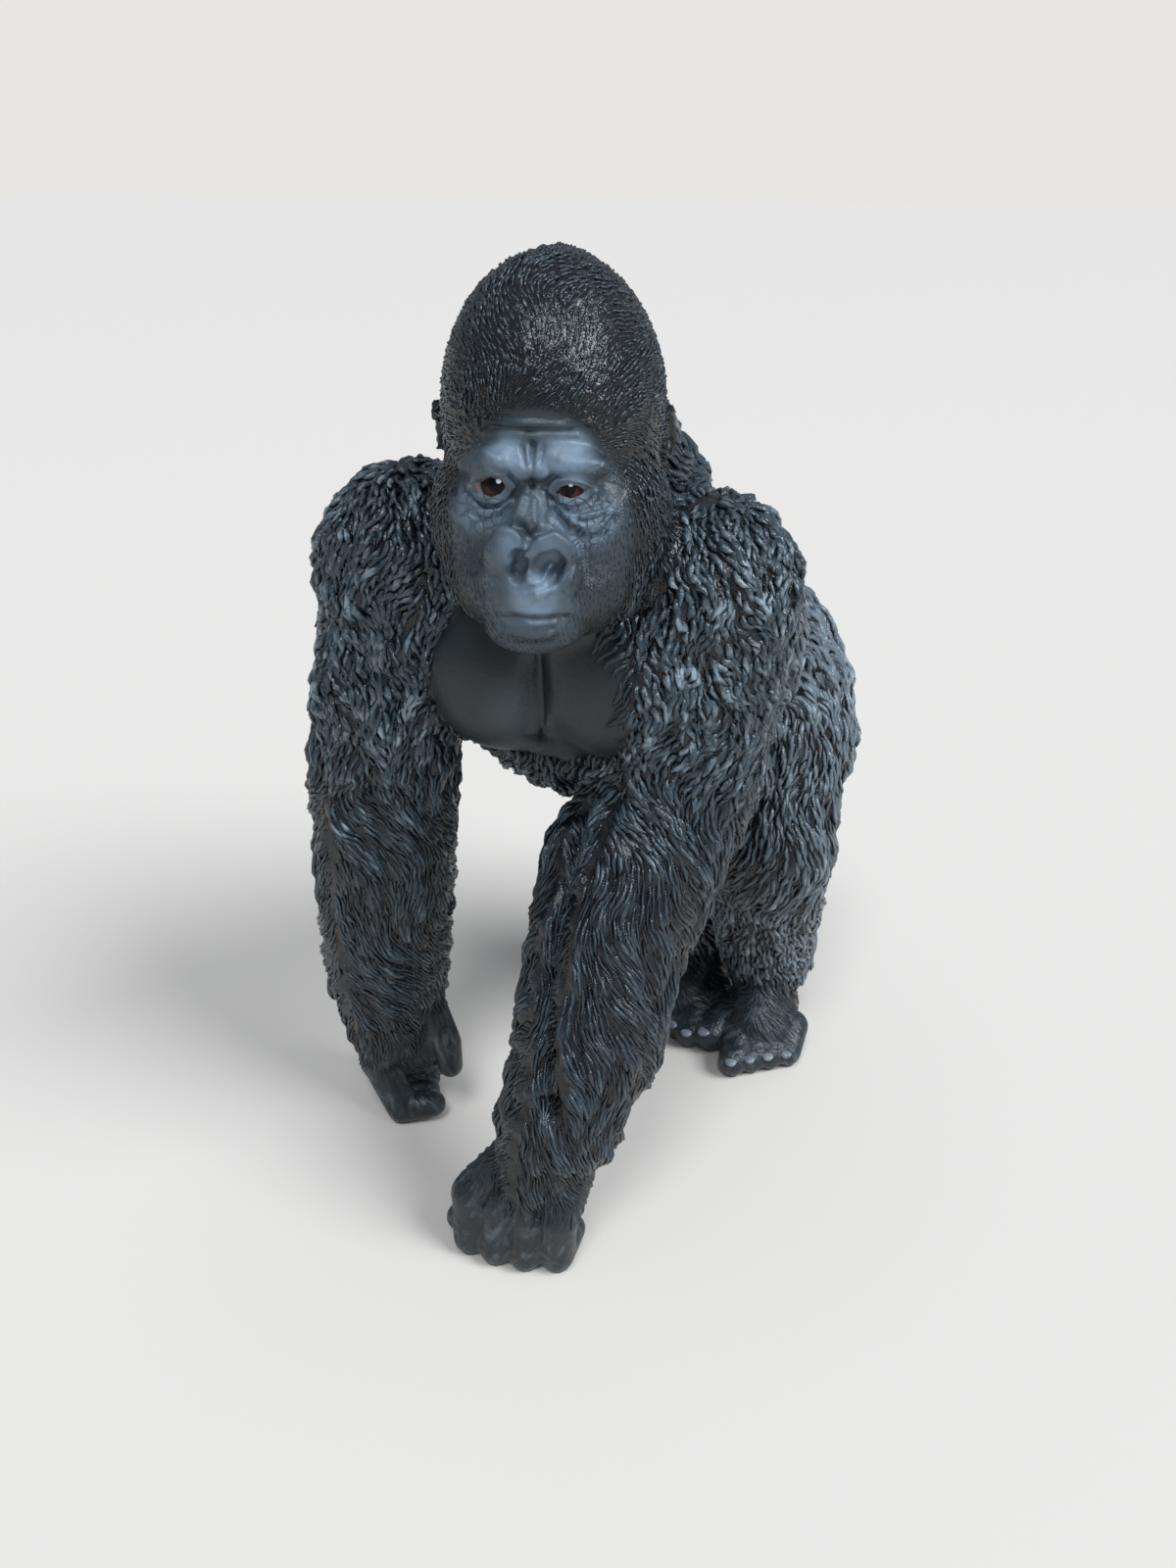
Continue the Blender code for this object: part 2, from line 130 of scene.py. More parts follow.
# A rod with two round ends of different thickness
class Rod:

    def __init__(self, start, end, thickStart, thickEnd, grain=None):
        self.start = np.array(start, dtype=float)
        self.end = np.array(end, dtype=float)
        self.thick = (thickStart, thickEnd)
        self.grain = unit(self.end - self.start) if grain is None else grain

    def build(self, bm):
        along = Vector(self.end - self.start)
        turn = along.to_track_quat("Z", "Y").to_matrix().to_4x4()
        place = Matrix.Translation(Vector((self.start + self.end) / 2)) @ turn
        bmesh.ops.create_cone(bm, cap_ends=True, segments=64, radius1=self.thick[0],
                              radius2=self.thick[1], depth=along.length, matrix=place)
        for end, thick in ((self.start, self.thick[0]), (self.end, self.thick[1])):
            bmesh.ops.create_icosphere(bm, subdivisions=4, radius=thick,
                                       matrix=Matrix.Translation(Vector(end)))

    def distance(self, points):
        along = self.end - self.start
        part = ((points - self.start) @ along) / max(along @ along, 1e-9)
        part = np.clip(part, 0.0, 1.0)
        nearest = self.start + part[..., None] * along
        gap = np.linalg.norm(points - nearest, axis=-1)
        return gap - (self.thick[0] + part * (self.thick[1] - self.thick[0]))


def chain(points, thick):
    return [Rod(points[i], points[i + 1], thick[i], thick[i + 1]) for i in range(len(points) - 1)]


# Turns head coordinates (x left, y back, z up) into the place on the figure
turned = math.radians(headShape["turn"])
headAxes = np.array([[math.cos(turned), -math.sin(turned), 0.0],
                     [math.sin(turned), math.cos(turned), 0.0],
                     [0.0, 0.0, 1.0]])


def onHead(x, y, z):
    return np.array(headShape["at"]) + headAxes @ np.array([x, y, z], dtype=float)


def headEgg(at, radii, roll=0.0, grain=None):
    r = math.radians(roll)
    lean = np.array([[math.cos(r), 0, math.sin(r)], [0, 1, 0], [-math.sin(r), 0, math.cos(r)]])
    return Egg(onHead(*at), radii, headAxes @ lean, grain)


def faceEgg(at, radii, roll=0.0):
    return headEgg((at[0] + headShape["faceMiddle"], at[1], at[2]), radii, roll)


def trunkForms():
    chest, belly, neckThick = trunkShape["chestAt"], trunkShape["bellyAt"], trunkShape["neckThick"]
    slope = math.radians(trunkShape["backSlope"])
    sloped = np.array([[1, 0, 0], [0, math.cos(slope), math.sin(slope)],
                       [0, -math.sin(slope), math.cos(slope)]])
    back = unit(sloped @ np.array([0.1, 1.0, 0.0]))
    neck = Rod(beside(chest, (0.2, 2.5, 6.5)), onHead(0.6, 5.0, 1.4),
               neckThick, neckThick * 0.7, unit((0, 0.8, -0.5)))
    return [Egg(chest, (15.0, 12.3, 12.6), grain=unit((0, 0.6, -0.8))),
            Egg(beside(chest, (0.2, 2.5, -6.5)), (12.8, 12.0, 11.8), grain=unit((0, 0.7, -0.5))),
            Egg(beside(chest, (-2.6, 0.5, 7.7)), (12.6, 8.8, 6.3), grain=unit((0, 0.9, -0.3))),
            Egg(belly, (13.2, 15.0, 11.6), grain=unit((0.1, 0.7, -0.5))),
            Egg(beside(belly, (-1.5, -1.5, 6.6)), (12.8, 15.5, 8.6), sloped, back),
            Egg(trunkShape["rumpAt"], (13.0, 9.8, 10.6), grain=unit((0.1, 0.3, -0.9))),
            neck]


def chestForms():
    chest = trunkShape["chestAt"]
    return [Egg(beside(chest, (6.4, -6.1, -2.9)), (8.8, 6.7, 7.6)),
            Egg(beside(chest, (-4.2, -7.3, -3.3)), (8.4, 6.7, 7.6)),
            Egg(beside(chest, (1.4, -6.0, 2.5)), (9.0, 6.4, 5.5))]


def armForms():
    left, right = limbs["armLeft"], limbs["armRight"]
    return chain(left, limbs["armLeftThick"]) + chain(right, limbs["armRightThick"]) + [
        Egg(beside(left[0], (-0.4, 0.5, 0.0)), (7.4, 8.6, 8.2), grain=down),
        Egg(beside(left[2], (1.4, 2.4, 4.0)), (5.7, 5.7, 6.4), grain=down),
        Egg(beside(left[3], (-2.8, 2.5, 3.7)), (4.8, 5.2, 7.2), grain=unit((0, -0.5, -0.9))),
        Egg(beside(left[5], (3.3, 0.9, -1.2)), (2.5, 3.0, 2.4), grain=down),
        Egg(beside(left[5], (-0.4, -2.0, -1.4)), (4.2, 3.0, 2.4), grain=down),
        Egg(beside(right[0], (-0.4, 0.4, 1.6)), (7.6, 8.6, 8.7), grain=down),
        Egg(beside(right[2], (-0.4, 2.8, -1.0)), (6.0, 6.0, 7.8), grain=down),
        Egg(beside(right[4], (3.2, -0.3, -1.0)), (2.6, 3.6, 3.4), grain=down)]


def legForms():
    left, right = limbs["legLeft"], limbs["legRight"]
    return chain(left, limbs["legLeftThick"]) + chain(right, limbs["legRightThick"]) + [
        Egg(beside(left[0], (2.4, -2.0, -4.5)), (7.6, 9.4, 9.4), grain=down),
        Egg(beside(right[0], (-1.4, -3.0, -4.5)), (7.6, 9.4, 9.4), grain=down)]


def headForms():
    back = unit((0, 0.95, 0.3))
    wide, mouth = headShape["halfWidth"], headShape["mouthHeight"]
    return [headEgg((0.0, 0.8, 2.8), (8.4, 9.9, 11.0), grain=back),
            headEgg((0.1, 3.2, headShape["crestRise"]), (5.5, 7.4, 7.3), grain=back),
            headEgg((0, -1.6, -4.8), (wide, 8.5, 8.2), grain=down),
            headEgg((0, -4.6, -8.4), (wide - 1.6, 6.5, 4.8), grain=down),
            faceEgg((0, -7.6, mouth + 1.7), (5.3, 4.8, 4.5))]


# Brow, cheeks, eyeballs, nose, lips and chin, laid onto the smooth head
def faceForms():
    brow, gap, eye = headShape["browHeight"], headShape["eyeGap"], headShape["eyeHeight"]
    noseWide, nose = headShape["noseHalfWidth"], headShape["noseHeight"]
    mouth, mouthWide = headShape["mouthHeight"], headShape["mouthHalfWidth"]
    middle, earRise = headShape["faceMiddle"], headShape["earRise"]
    forms = [faceEgg((0, -8.5, brow - 0.35), (1.5, 1.3, 1.4)),
             Rod(onHead(middle, -8.3, eye + 0.4), onHead(middle, -10.6, nose + 1.3), 0.9, 1.1),
             faceEgg((0, -11.3, nose - 1.2), (1.7, 1.4, 1.1)),
             faceEgg((0, -10.6, mouth + 1.6), (mouthWide, 1.9, 1.6)),
             faceEgg((0, -10.1, mouth - 0.9), (mouthWide, 1.9, 1.1)),
             faceEgg((0, -8.8, mouth - 1.7), (3.7, 2.7, 1.8))]
    for side in (-1, 1):
        forms += [faceEgg((side * gap, -8.0, brow), (2.9, 1.8, 1.1), roll=side * 14),
                  faceEgg((side * 3.8, -6.9, eye - 2.3), (2.7, 1.9, 1.9)),
                  faceEgg((side * gap, -7.8, eye), (headShape["eyeRadius"],) * 3),
                  faceEgg((side * noseWide, -11.0, nose), (1.65, 1.6, 1.85)),
                  headEgg((side * (headShape["halfWidth"] - 0.9), 2.0, earRise), (0.9, 1.6, 2.2))]
        edge = side * (headShape["halfWidth"] - 0.2) - 0.3
        rim = [onHead(edge, 1.8 + 1.2 * math.sin(turn), earRise + 1.8 * math.cos(turn))
               for turn in (-0.9, 0.0, 0.9, 1.8, 2.7)]
        forms += chain(rim, [0.35, 0.42, 0.45, 0.4, 0.3])
    return forms


# A hand: its back, four bent fingers that rest on their middle joints, and the thumb
def handForms(wrist, row, spread, bend, tuck, thumb):
    finger = limbs["finger"]
    forms = chain([beside(wrist, point) for point in thumb], [1.75, 1.55, 1.3])
    spread, bend, tuck = np.array(spread), np.array(bend), np.array(tuck)
    for n in range(4):
        knuckle = beside(wrist, row) + spread * (n - 1.5)
        middle = knuckle + bend - unit(tuck) * (0.4, 0.8, 0.6, -0.2)[n]
        middle[2] = finger - 0.1
        forms += [Rod(wrist + spread * (n - 1.5) * 0.6, knuckle, 2.5, finger + 0.4),
                  Rod(knuckle, middle, finger + 0.3, finger),
                  Rod(middle, middle + tuck, finger, finger - 0.2)]
    return forms


def hands():
    leftWrist, rightWrist = limbs["armLeft"][-1], limbs["armRight"][-1]
    left = handForms(leftWrist, (-1.5, -2.4, -3.0), (2.75, 0.25, -0.1), (0.0, -0.4, -4.0),
                     (-0.2, 3.4, -0.2), [(-2.4, 0.4, -4.6), (-5.0, -1.0, -6.6), (-7.6, -2.0, -7.4)])
    right = handForms(rightWrist, (-2.6, 0.7, -3.9), (-1.2, 1.7, 0.0), (3.0, -0.2, -4.6),
                      (2.9, 1.4, 0.4), [(4.4, 0.7, 2.5), (6.1, 0.5, -1.1), (6.6, 0.2, -3.6)])
    return left + right + [Egg(beside(rightWrist, (2.0, 1.3, -1.9)), (3.6, 3.6, 4.8))]


# All forms of the hands but the back of each and the heel of the right one
def fingers():
    both = hands()
    left, right = both[:14], both[14:28]
    return [form for hand in (left, right) for n, form in enumerate(hand) if n < 2 or (n - 2) % 3]


# A foot: heel, sole, four toes in a slanting row and the big toe set apart
def footForms(ankle, ahead, outward):
    thick, toe, length = limbs["footThick"], limbs["toe"], limbs["footLength"]
    ahead, outward = unit(ahead), unit(outward)
    heel = np.array([ankle[0], ankle[1], thick - 0.2]) - ahead * 3.8
    ball = heel + ahead * (length * 0.55)
    thumb = heel + ahead * (length * 0.38) - outward * 2.4
    forms = [Rod(heel, ball, thick + 0.4, thick),
             Rod(heel + ahead * 5.0 + outward, ball + outward * 1.4, thick, thick - 0.3),
             Rod(heel + ahead * 4.0 + up * 3.2, ball + up * 0.8, thick + 0.4, thick - 0.4),
             Rod(thumb, thumb + ahead * 4.6 - outward * 2.4 - up, toe + 0.85, toe + 0.35)]
    for n in range(4):
        root = ball + outward * (n * limbs["toeSpread"] - 1.6) - ahead * (n * 0.5)
        forms.append(Rod(root, root + ahead * (5.0 - n * 0.65) - up * 1.3, toe + 0.4, toe + 0.1))
    return forms


def feet():
    left = footForms(limbs["legLeft"][-1], (0.13, -1.0, 0.0), (1.0, 0.13, 0.0))
    right = footForms(limbs["legRight"][-1], (0.12, -1.0, 0.0), (-1.0, -0.12, 0.0))
    return left + right


def toes():
    return [form for foot in (feet()[:8], feet()[8:]) for form in foot[3:]]


def addModifier(item, kind, **values):
    modifier = item.modifiers.new(kind.title(), kind)
    for name, value in values.items():
        setattr(modifier, name, value)
    return modifier


def applyModifiers(item):
    graph = bpy.context.evaluated_depsgraph_get()
    mesh = bpy.data.meshes.new_from_object(item.evaluated_get(graph))
    item.modifiers.clear()
    item.data = mesh


# Adds forms to a piece as primitives, then fuses the lot into one skin and smooths the joins
def fuse(item, forms, voxel, smoothing):
    bm = bmesh.new()
    bm.from_mesh(item.data)
    for form in forms:
        form.build(bm)
    bm.to_mesh(item.data)
    bm.free()
    addModifier(item, "REMESH", mode="VOXEL", voxel_size=voxel)
    addModifier(item, "SMOOTH", factor=0.5, iterations=smoothing)
    applyModifiers(item)


def vertexTable(item):
    count = len(item.data.vertices)
    places = np.empty(count * 3, dtype=np.float32)
    item.data.vertices.foreach_get("co", places)
    normals = np.empty(count * 3, dtype=np.float32)
    item.data.vertices.foreach_get("normal", normals)
    return places.reshape(-1, 3).astype(float), normals.reshape(-1, 3).astype(float)


def moveVertices(item, places):
    item.data.vertices.foreach_set("co", places.astype(np.float32).ravel())
    item.data.update()


def softNear(gap, soft):
    near = np.clip(1.0 - gap / soft, 0.0, 1.0)
    return near * near * (3.0 - 2.0 * near)


# Pushes the skin in around some forms, most at the forms themselves and fading out over a soft edge
def press(item, forms, push, soft):
    places = vertexTable(item)[0]
    gap = np.min([form.distance(places) for form in forms], axis=0)
    moveVertices(item, places + softNear(gap, soft)[:, None] * np.asarray(push)[None, :])


# Raises or cuts a line into the skin through some points, as a soft ridge or groove
def crease(places, normals, ends, width, height, front=None):
    middle = np.mean(ends, axis=0)
    reach = max(np.linalg.norm(end - middle) for end in ends) + 3.0 * width
    close = np.flatnonzero(np.linalg.norm(places - middle, axis=1) < reach)
    near = places[close]
    gap = np.min([form.distance(near) for form in chain(ends, [0.02] * len(ends))], axis=0)
    lift = np.exp(-(gap / width) ** 2) * height
    if front is not None:
        lift *= normals[close] @ front > -0.2
    places[close] += normals[close] * lift[:, None]


# Lines on the face in head coordinates, each with its width and its height, below zero for a groove
faceLines = {
    "eyelids": [
        ([(-4.8, -7.8, -1.2), (-4.0, -9.0, -0.15), (-3.1, -9.5, 0.25), (-2.3, -9.3, 0.0),
          (-1.6, -9.0, -0.8)], 0.3, 0.42),
        ([(-4.8, -7.8, -1.2), (-4.0, -8.8, -1.75), (-3.1, -9.2, -2.0), (-2.3, -9.1, -1.65),
          (-1.6, -9.0, -0.9)], 0.3, 0.36),
        ([(1.0, -8.9, -1.0), (1.6, -9.2, -0.4), (2.4, -9.4, -0.1), (3.2, -9.1, -0.35),
          (3.9, -8.4, -1.1)], 0.3, 0.42),
        ([(1.0, -8.9, -1.0), (1.6, -9.1, -1.65), (2.4, -9.2, -1.95), (3.2, -9.0, -1.7),
          (3.9, -8.4, -1.1)], 0.3, 0.36)],
    "brow": [
        ([(-3.6, -9.2, 1.4), (-2.7, -9.6, 0.95), (-1.8, -9.6, 0.45), (-0.8, -9.6, 0.0)], 0.5, 0.34),
        ([(0.2, -9.6, 0.1), (1.1, -9.5, 0.4), (2.4, -9.4, 0.7), (3.7, -9.2, 0.75),
          (4.6, -8.7, 0.6)], 0.5, 0.34),
        ([(-3.6, -8.4, 2.3), (-1.2, -9.0, 2.1)], 0.4, 0.15),
        ([(0.4, -9.0, 2.1), (2.7, -8.9, 1.9), (3.9, -8.5, 1.5)], 0.4, 0.15)],
    "furrow": [
        ([(-0.2, -9.2, 2.0), (-0.15, -9.7, 0.7), (-0.2, -9.6, -0.6)], 0.22, -0.4),
        ([(-0.95, -9.2, 1.9), (-0.6, -9.7, 0.6)], 0.17, -0.25),
        ([(0.55, -9.1, 1.9), (0.25, -9.6, 0.7)], 0.17, -0.25),
        ([(-0.55, -9.2, 1.8), (-0.4, -9.7, 0.5)], 0.2, 0.16),
        ([(0.2, -9.1, 1.8), (0.05, -9.6, 0.5)], 0.2, 0.16)],
    "bridge": [
        ([(-0.75, -10.0, -1.5), (-1.0, -10.5, -2.3), (-1.35, -10.9, -2.9)], 0.3, 0.28),
        ([(0.5, -9.5, -1.2), (0.85, -9.9, -2.2), (1.15, -10.6, -3.0)], 0.3, 0.3),
        ([(-0.45, -9.8, -1.2), (-0.5, -10.6, -2.4), (-0.7, -11.2, -3.1)], 0.18, -0.2),
        ([(1.25, -9.3, -1.3), (1.4, -9.8, -2.4), (1.6, -10.6, -3.2)], 0.22, -0.25),
        ([(-1.35, -9.3, -1.4), (-1.5, -10.0, -2.4), (-1.8, -10.8, -3.2)], 0.25, -0.3)],
    "bags": [
        ([(-6.1, -6.9, -1.8), (-5.0, -8.5, -2.9), (-3.9, -9.0, -3.4), (-2.6, -9.4, -3.0),
          (-1.8, -9.4, -2.3)], 0.22, -0.3),
        ([(-5.6, -7.4, -1.7), (-4.6, -8.3, -2.3), (-3.7, -8.9, -2.8), (-2.6, -9.2, -2.6),
          (-1.9, -9.1, -2.0)], 0.24, 0.24),
        ([(-4.9, -8.0, -2.0), (-3.7, -8.9, -2.4), (-2.6, -9.2, -2.3)], 0.13, -0.18),
        ([(1.2, -9.4, -2.3), (2.2, -9.8, -3.4), (3.5, -9.4, -4.4), (4.7, -8.8, -4.0),
          (5.5, -8.2, -3.0)], 0.24, -0.32),
        ([(1.5, -9.4, -2.2), (2.4, -9.6, -3.0), (3.5, -9.3, -3.9), (4.5, -8.8, -3.6),
          (5.2, -8.2, -2.8)], 0.26, 0.24),
        ([(1.7, -9.3, -2.25), (2.7, -9.2, -2.5), (3.9, -8.6, -2.4), (5.0, -8.1, -2.1)], 0.13, -0.2),
        ([(2.2, -9.5, -2.9), (3.4, -9.3, -3.2), (4.5, -8.7, -3.0), (5.2, -8.2, -2.6)], 0.13, -0.2),
        ([(2.1, -9.5, -2.65), (3.3, -9.2, -2.85), (4.7, -8.5, -2.6)], 0.16, 0.14)],
    "nose": [
        ([(-2.1, -11.5, -3.4), (-2.8, -11.6, -4.6), (-3.1, -11.2, -5.6),
          (-2.8, -11.2, -6.6)], 0.4, 0.3),
        ([(-2.1, -11.6, -3.5), (-1.4, -11.7, -3.4), (-0.8, -11.9, -3.9)], 0.35, 0.28),
        ([(-0.1, -12.2, -4.6), (0.7, -12.1, -3.9), (1.5, -11.8, -3.6), (2.4, -11.5, -4.3),
          (2.8, -10.9, -5.6), (2.4, -11.4, -6.7)], 0.34, 0.42),
        ([(-0.3, -12.0, -3.4), (-0.3, -12.3, -4.3)], 0.25, -0.34),
        ([(-0.3, -12.5, -4.9), (-0.2, -12.6, -5.8), (0.0, -12.5, -6.6)], 0.35, 0.2),
        ([(2.4, -11.4, -6.7), (1.4, -12.0, -7.3), (0.4, -12.3, -7.6)], 0.3, 0.3),
        ([(-2.6, -11.4, -6.8), (-1.6, -12.0, -7.3)], 0.3, 0.16),
        ([(-2.6, -10.8, -3.2), (-1.5, -11.2, -2.7), (-0.7, -11.4, -3.1), (-0.2, -11.7, -3.8),
          (0.4, -11.5, -3.3), (1.3, -11.1, -2.8), (2.3, -10.7, -3.1),
          (3.0, -10.3, -4.2)], 0.28, -0.5)],
    "folds": [
        ([(-2.9, -10.9, -3.4), (-3.9, -9.8, -4.9), (-4.1, -9.9, -6.6),
          (-3.7, -10.5, -8.0)], 0.75, -0.6),
        ([(3.1, -9.9, -4.0), (3.6, -9.9, -5.3), (3.8, -10.0, -6.8),
          (3.3, -10.7, -8.2)], 0.75, -0.6),
        ([(-3.6, -10.5, -8.3), (-3.7, -10.4, -9.4), (-3.2, -10.5, -10.2)], 0.45, -0.3),
        ([(3.1, -10.7, -8.4), (3.2, -10.5, -9.4), (2.7, -10.6, -10.2)], 0.45, -0.3)],
    "lips": [
        ([(-2.7, -11.2, -9.4), (-1.3, -11.9, -9.15), (0.1, -11.9, -9.3), (1.2, -11.6, -9.3),
          (2.3, -11.1, -9.5)], 0.22, -0.5),
        ([(-1.8, -11.6, -8.75), (0.0, -12.0, -8.8), (1.7, -11.6, -8.8)], 0.3, 0.2),
        ([(-2.1, -11.6, -8.3), (0.0, -12.0, -8.4), (1.9, -11.6, -8.3)], 0.16, -0.12),
        ([(-1.7, -11.5, -9.85), (0.0, -11.9, -9.9), (1.5, -11.5, -9.8)], 0.2, 0.22),
        ([(-1.5, -11.6, -10.25), (0.1, -11.8, -10.35), (1.3, -11.5, -10.25)], 0.15, -0.2),
        ([(-1.1, -11.6, -10.7), (0.2, -11.7, -10.75), (1.0, -11.5, -10.7)], 0.2, 0.24),
        ([(-1.4, -11.4, -11.2), (0.1, -11.5, -11.3), (1.3, -11.3, -11.2)], 0.25, -0.25)],
    "forehead": [
        ([(-3.8, -8.0, 3.3), (-0.8, -9.0, 3.35), (1.9, -8.8, 3.3), (4.0, -7.8, 3.3)], 0.2, 0.2),
        ([(-3.6, -8.1, 2.95), (-0.5, -9.0, 2.95), (2.2, -8.7, 2.95),
          (4.0, -7.8, 2.95)], 0.16, -0.26),
        ([(-3.2, -8.4, 2.6), (-0.3, -9.0, 2.5), (2.8, -8.5, 2.6)], 0.2, 0.16),
        ([(-3.5, -8.1, 3.75), (0.0, -8.9, 3.8), (3.6, -7.9, 3.7)], 0.16, -0.2)],
}


# Splits the faces near the front of the head once more, so that its small folds have room
def refineFace(item):
    bm = bmesh.new()
    bm.from_mesh(item.data)
    front = Egg(onHead(headShape["faceMiddle"], -10.0, -3.8), (6.6, 4.6, 8.2), headAxes)
    places = np.array([v.co for v in bm.verts])
    inside = front.distance(places) < 0.0
    edges = [e for e in bm.edges if inside[e.verts[0].index] and inside[e.verts[1].index]]
    bmesh.ops.subdivide_edges(bm, edges=edges, cuts=1, use_grid_fill=True, smooth=0.6)
    bm.to_mesh(item.data)
    bm.free()


nostrils = [
    [(-0.8, -12.6, -5.1), (-0.75, -12.7, -5.7), (-1.1, -12.6, -6.2)],
    [(0.45, -12.6, -5.9), (0.85, -12.6, -5.3), (1.5, -12.5, -5.15), (1.95, -12.3, -5.7), (1.65, -12.3, -6.4)],
]


# Lines on the body, and the cleft of the chest as steps from its middle
bodyLines = {
    "forearmGroove": ([(3.1, -18.9, 41.1), (3.4, -22.4, 37.5), (3.7, -25.0, 34.0), (3.7, -27.6, 29.0),
                       (4.3, -29.7, 23.8), (5.4, -31.3, 18.6)], 0.85, -1.1),
    "innerElbow": ([(-14.4, -24.9, 40.3), (-13.8, -24.2, 36.5)], 2.3, -1.2),
    "elbowFold": ([(-17.5, -25.2, 42.4), (-14.5, -25.2, 43.6), (-11.5, -22.8, 42.6)], 0.9, 0.5),
    "chestEdge": ([(-5.6, -17.2, 43.7), (-1.8, -18.0, 44.2), (2.2, -17.6, 44.0)], 0.35, -0.35),
}
cleftLine = [(1.2, -11.7, 0.5), (1.2, -11.5, -4.0), (1.17, -11.3, -6.8),
             (1.0, -9.9, -9.6), (0.7, -8.6, -11.4)]


# Grooves between the bones of the back of each hand, and wrinkles across its knuckles
def handLines():
    both = hands()
    lines = []
    for hand in (both[:14], both[14:28]):
        for n in range(2, 11, 3):
            first, second = hand[n], hand[n + 3]
            lines.append(([(first.start + second.start) / 2 + (0.0, -1.8, 0.8),
                           (first.end + second.end) / 2 + (0.0, -1.2, 0.6)], 0.5, -0.5))
        for n in range(2, 14, 3):
            knuckle, middle = hand[n + 1].start, hand[n + 1].end
            across = unit(hand[5].end - hand[2].end)
            for part in (0.35, 0.6, 0.85):
                at = knuckle + (middle - knuckle) * part + (0.0, -1.3, 0.0)
                lines.append(([at - across * 0.9, at + across * 0.9], 0.16, -0.2))
    return lines


def sculptSkin(item):
    for line in nostrils:
        ends = [onHead(*point) for point in line]
        press(item, chain(ends, [0.22] * len(ends)), headAxes @ np.array([0.0, 1.15, 0.1]), 0.75)
    for side in (-1, 1):
        ear = headEgg((side * headShape["halfWidth"], 1.6, headShape["earRise"]), (0.3, 0.6, 1.1))
        press(item, [ear], headAxes @ np.array([-side * 0.9, 0.0, 0.0]), 0.5)
    places, normals = vertexTable(item)
    front = headAxes @ np.array([0.0, -1.0, 0.0])
    for group in faceLines.values():
        for line, width, height in group:
            crease(places, normals, [onHead(*point) for point in line], width, height, front)
    for n in range(5):
        knob = onHead(0.02 + 0.04 * n, -10.3 - 0.3 * n, -1.5 - 0.42 * n)    # down the bridge of the nose
        near = np.exp(-(np.linalg.norm(places - knob, axis=1) / 0.24) ** 2) * 0.2
        places += normals * near[:, None]
    cleft = [beside(trunkShape["chestAt"], point) for point in cleftLine]
    crease(places, normals, cleft, 0.24, -0.38)
    for line, width, height in list(bodyLines.values()) + handLines():
        crease(places, normals, [np.array(point) for point in line], width, height)
    moveVertices(item, places)


# How the hair lies at each place: the directions of the forms near it, mixed by closeness
def hairLie(points, forms):
    total = np.zeros_like(points)
    for form in forms:
        if form.grain is None:
            continue
        near = np.exp(-np.maximum(form.distance(points) + 0.5, 0.0) / 1.3)
        total += near[:, None] * np.asarray(form.grain)[None, :]
    return total / np.maximum(np.linalg.norm(total, axis=1), 1e-9)[:, None]


# A few slow waves of random direction, about -1 to 1
def waves(points, scale, seed):
    rng = np.random.default_rng(seed)
    total = np.zeros(len(points))
    for n in range(7):
        direction = rng.normal(size=3)
        direction /= np.linalg.norm(direction)
        turns = points @ direction * (2 * math.pi / scale) * rng.uniform(0.6, 1.6)
        total += np.sin(turns + rng.uniform(0, 6.3))
    return total / 2.6


# The direction of the hair in the plane of the skin at every point, swung to and fro by slow waves
def combed(points, normals):
    forms = trunkForms() + armForms() + legForms() + headForms()
    lie = hairLie(points, forms)
    flat = lie - normals * (lie * normals).sum(axis=1)[:, None]
    weak = np.linalg.norm(flat, axis=1) < 0.15
    fall = down[None, :] - normals * (normals @ down)[:, None]
    flat[weak] = fall[weak]
    flat /= np.maximum(np.linalg.norm(flat, axis=1), 1e-6)[:, None]
    across = np.cross(normals, flat)
    shaggy = np.clip((points[:, 2] - 38.0) / 12.0, 0.0, 1.0) * lockSize(points)
    swing = 0.4 * waves(points, 9.0, 3) + (0.15 + 0.3 * shaggy) * waves(points, 3.5, 4)
    forearm = chain(limbs["armLeft"][2:6], [7.0] * 4) + chain(limbs["armRight"][2:5], [6.5] * 3)
    near = softNear(np.maximum(np.min([f.distance(points) for f in forearm], axis=0), 0.0), 2.0)
    swing = swing + near * 0.55 * np.sign(normals[:, 0] + 0.25)
    return flat * np.cos(swing)[:, None] + across * np.sin(swing)[:, None]


# The skin that stays bare on the face: brow band, eye sockets, nose and the lips
def bareFace():
    forms = [headEgg((0.3, -9.0, 1.6), (4.2, 3.0, 2.3)),
             headEgg((-0.1, -11.0, -4.9), (3.1, 3.4, 2.9)),
             headEgg((-0.1, -9.8, -1.8), (1.8, 1.8, 2.4)),
             headEgg((-0.1, -11.0, -8.6), (2.1, 3.0, 2.4))]
    for side in (-1, 1):
        forms.append(headEgg((side * 3.2 - 0.2, -8.6, -1.9), (2.9, 2.6, 2.4)))
        forms.append(headEgg((side * headShape["halfWidth"], 1.8, headShape["earRise"]), (1.2, 1.2, 1.9)))
    return forms


def bareBody(points):
    amount = np.clip(points[:, 2] / 1.5 - 0.4, 0.0, 1.0)
    chest = Egg(beside(trunkShape["chestAt"], (0.6, -13.5, -3.5)), (8.2, 7.0, 9.3))
    amount *= np.clip(chest.distance(points) / 1.2, 0.0, 1.0)
    for form in fingers() + toes():
        amount *= np.clip(form.distance(points) - 0.1, 0.0, 1.0)
    return amount


# 0 on bare skin, 1 where there are thick tufts
def furAmount(points):
    face = Egg(onHead(0, -9.5, -4.6), (6.4, 6.4, 8.2), headAxes)
    amount = bareBody(points) * np.clip(face.distance(points) / 1.6, 0.0, 1.0)
    gap = np.min([form.distance(points) for form in hands() + feet()], axis=0)
    return amount * np.clip(gap - 0.2, 0.0, 1.0)


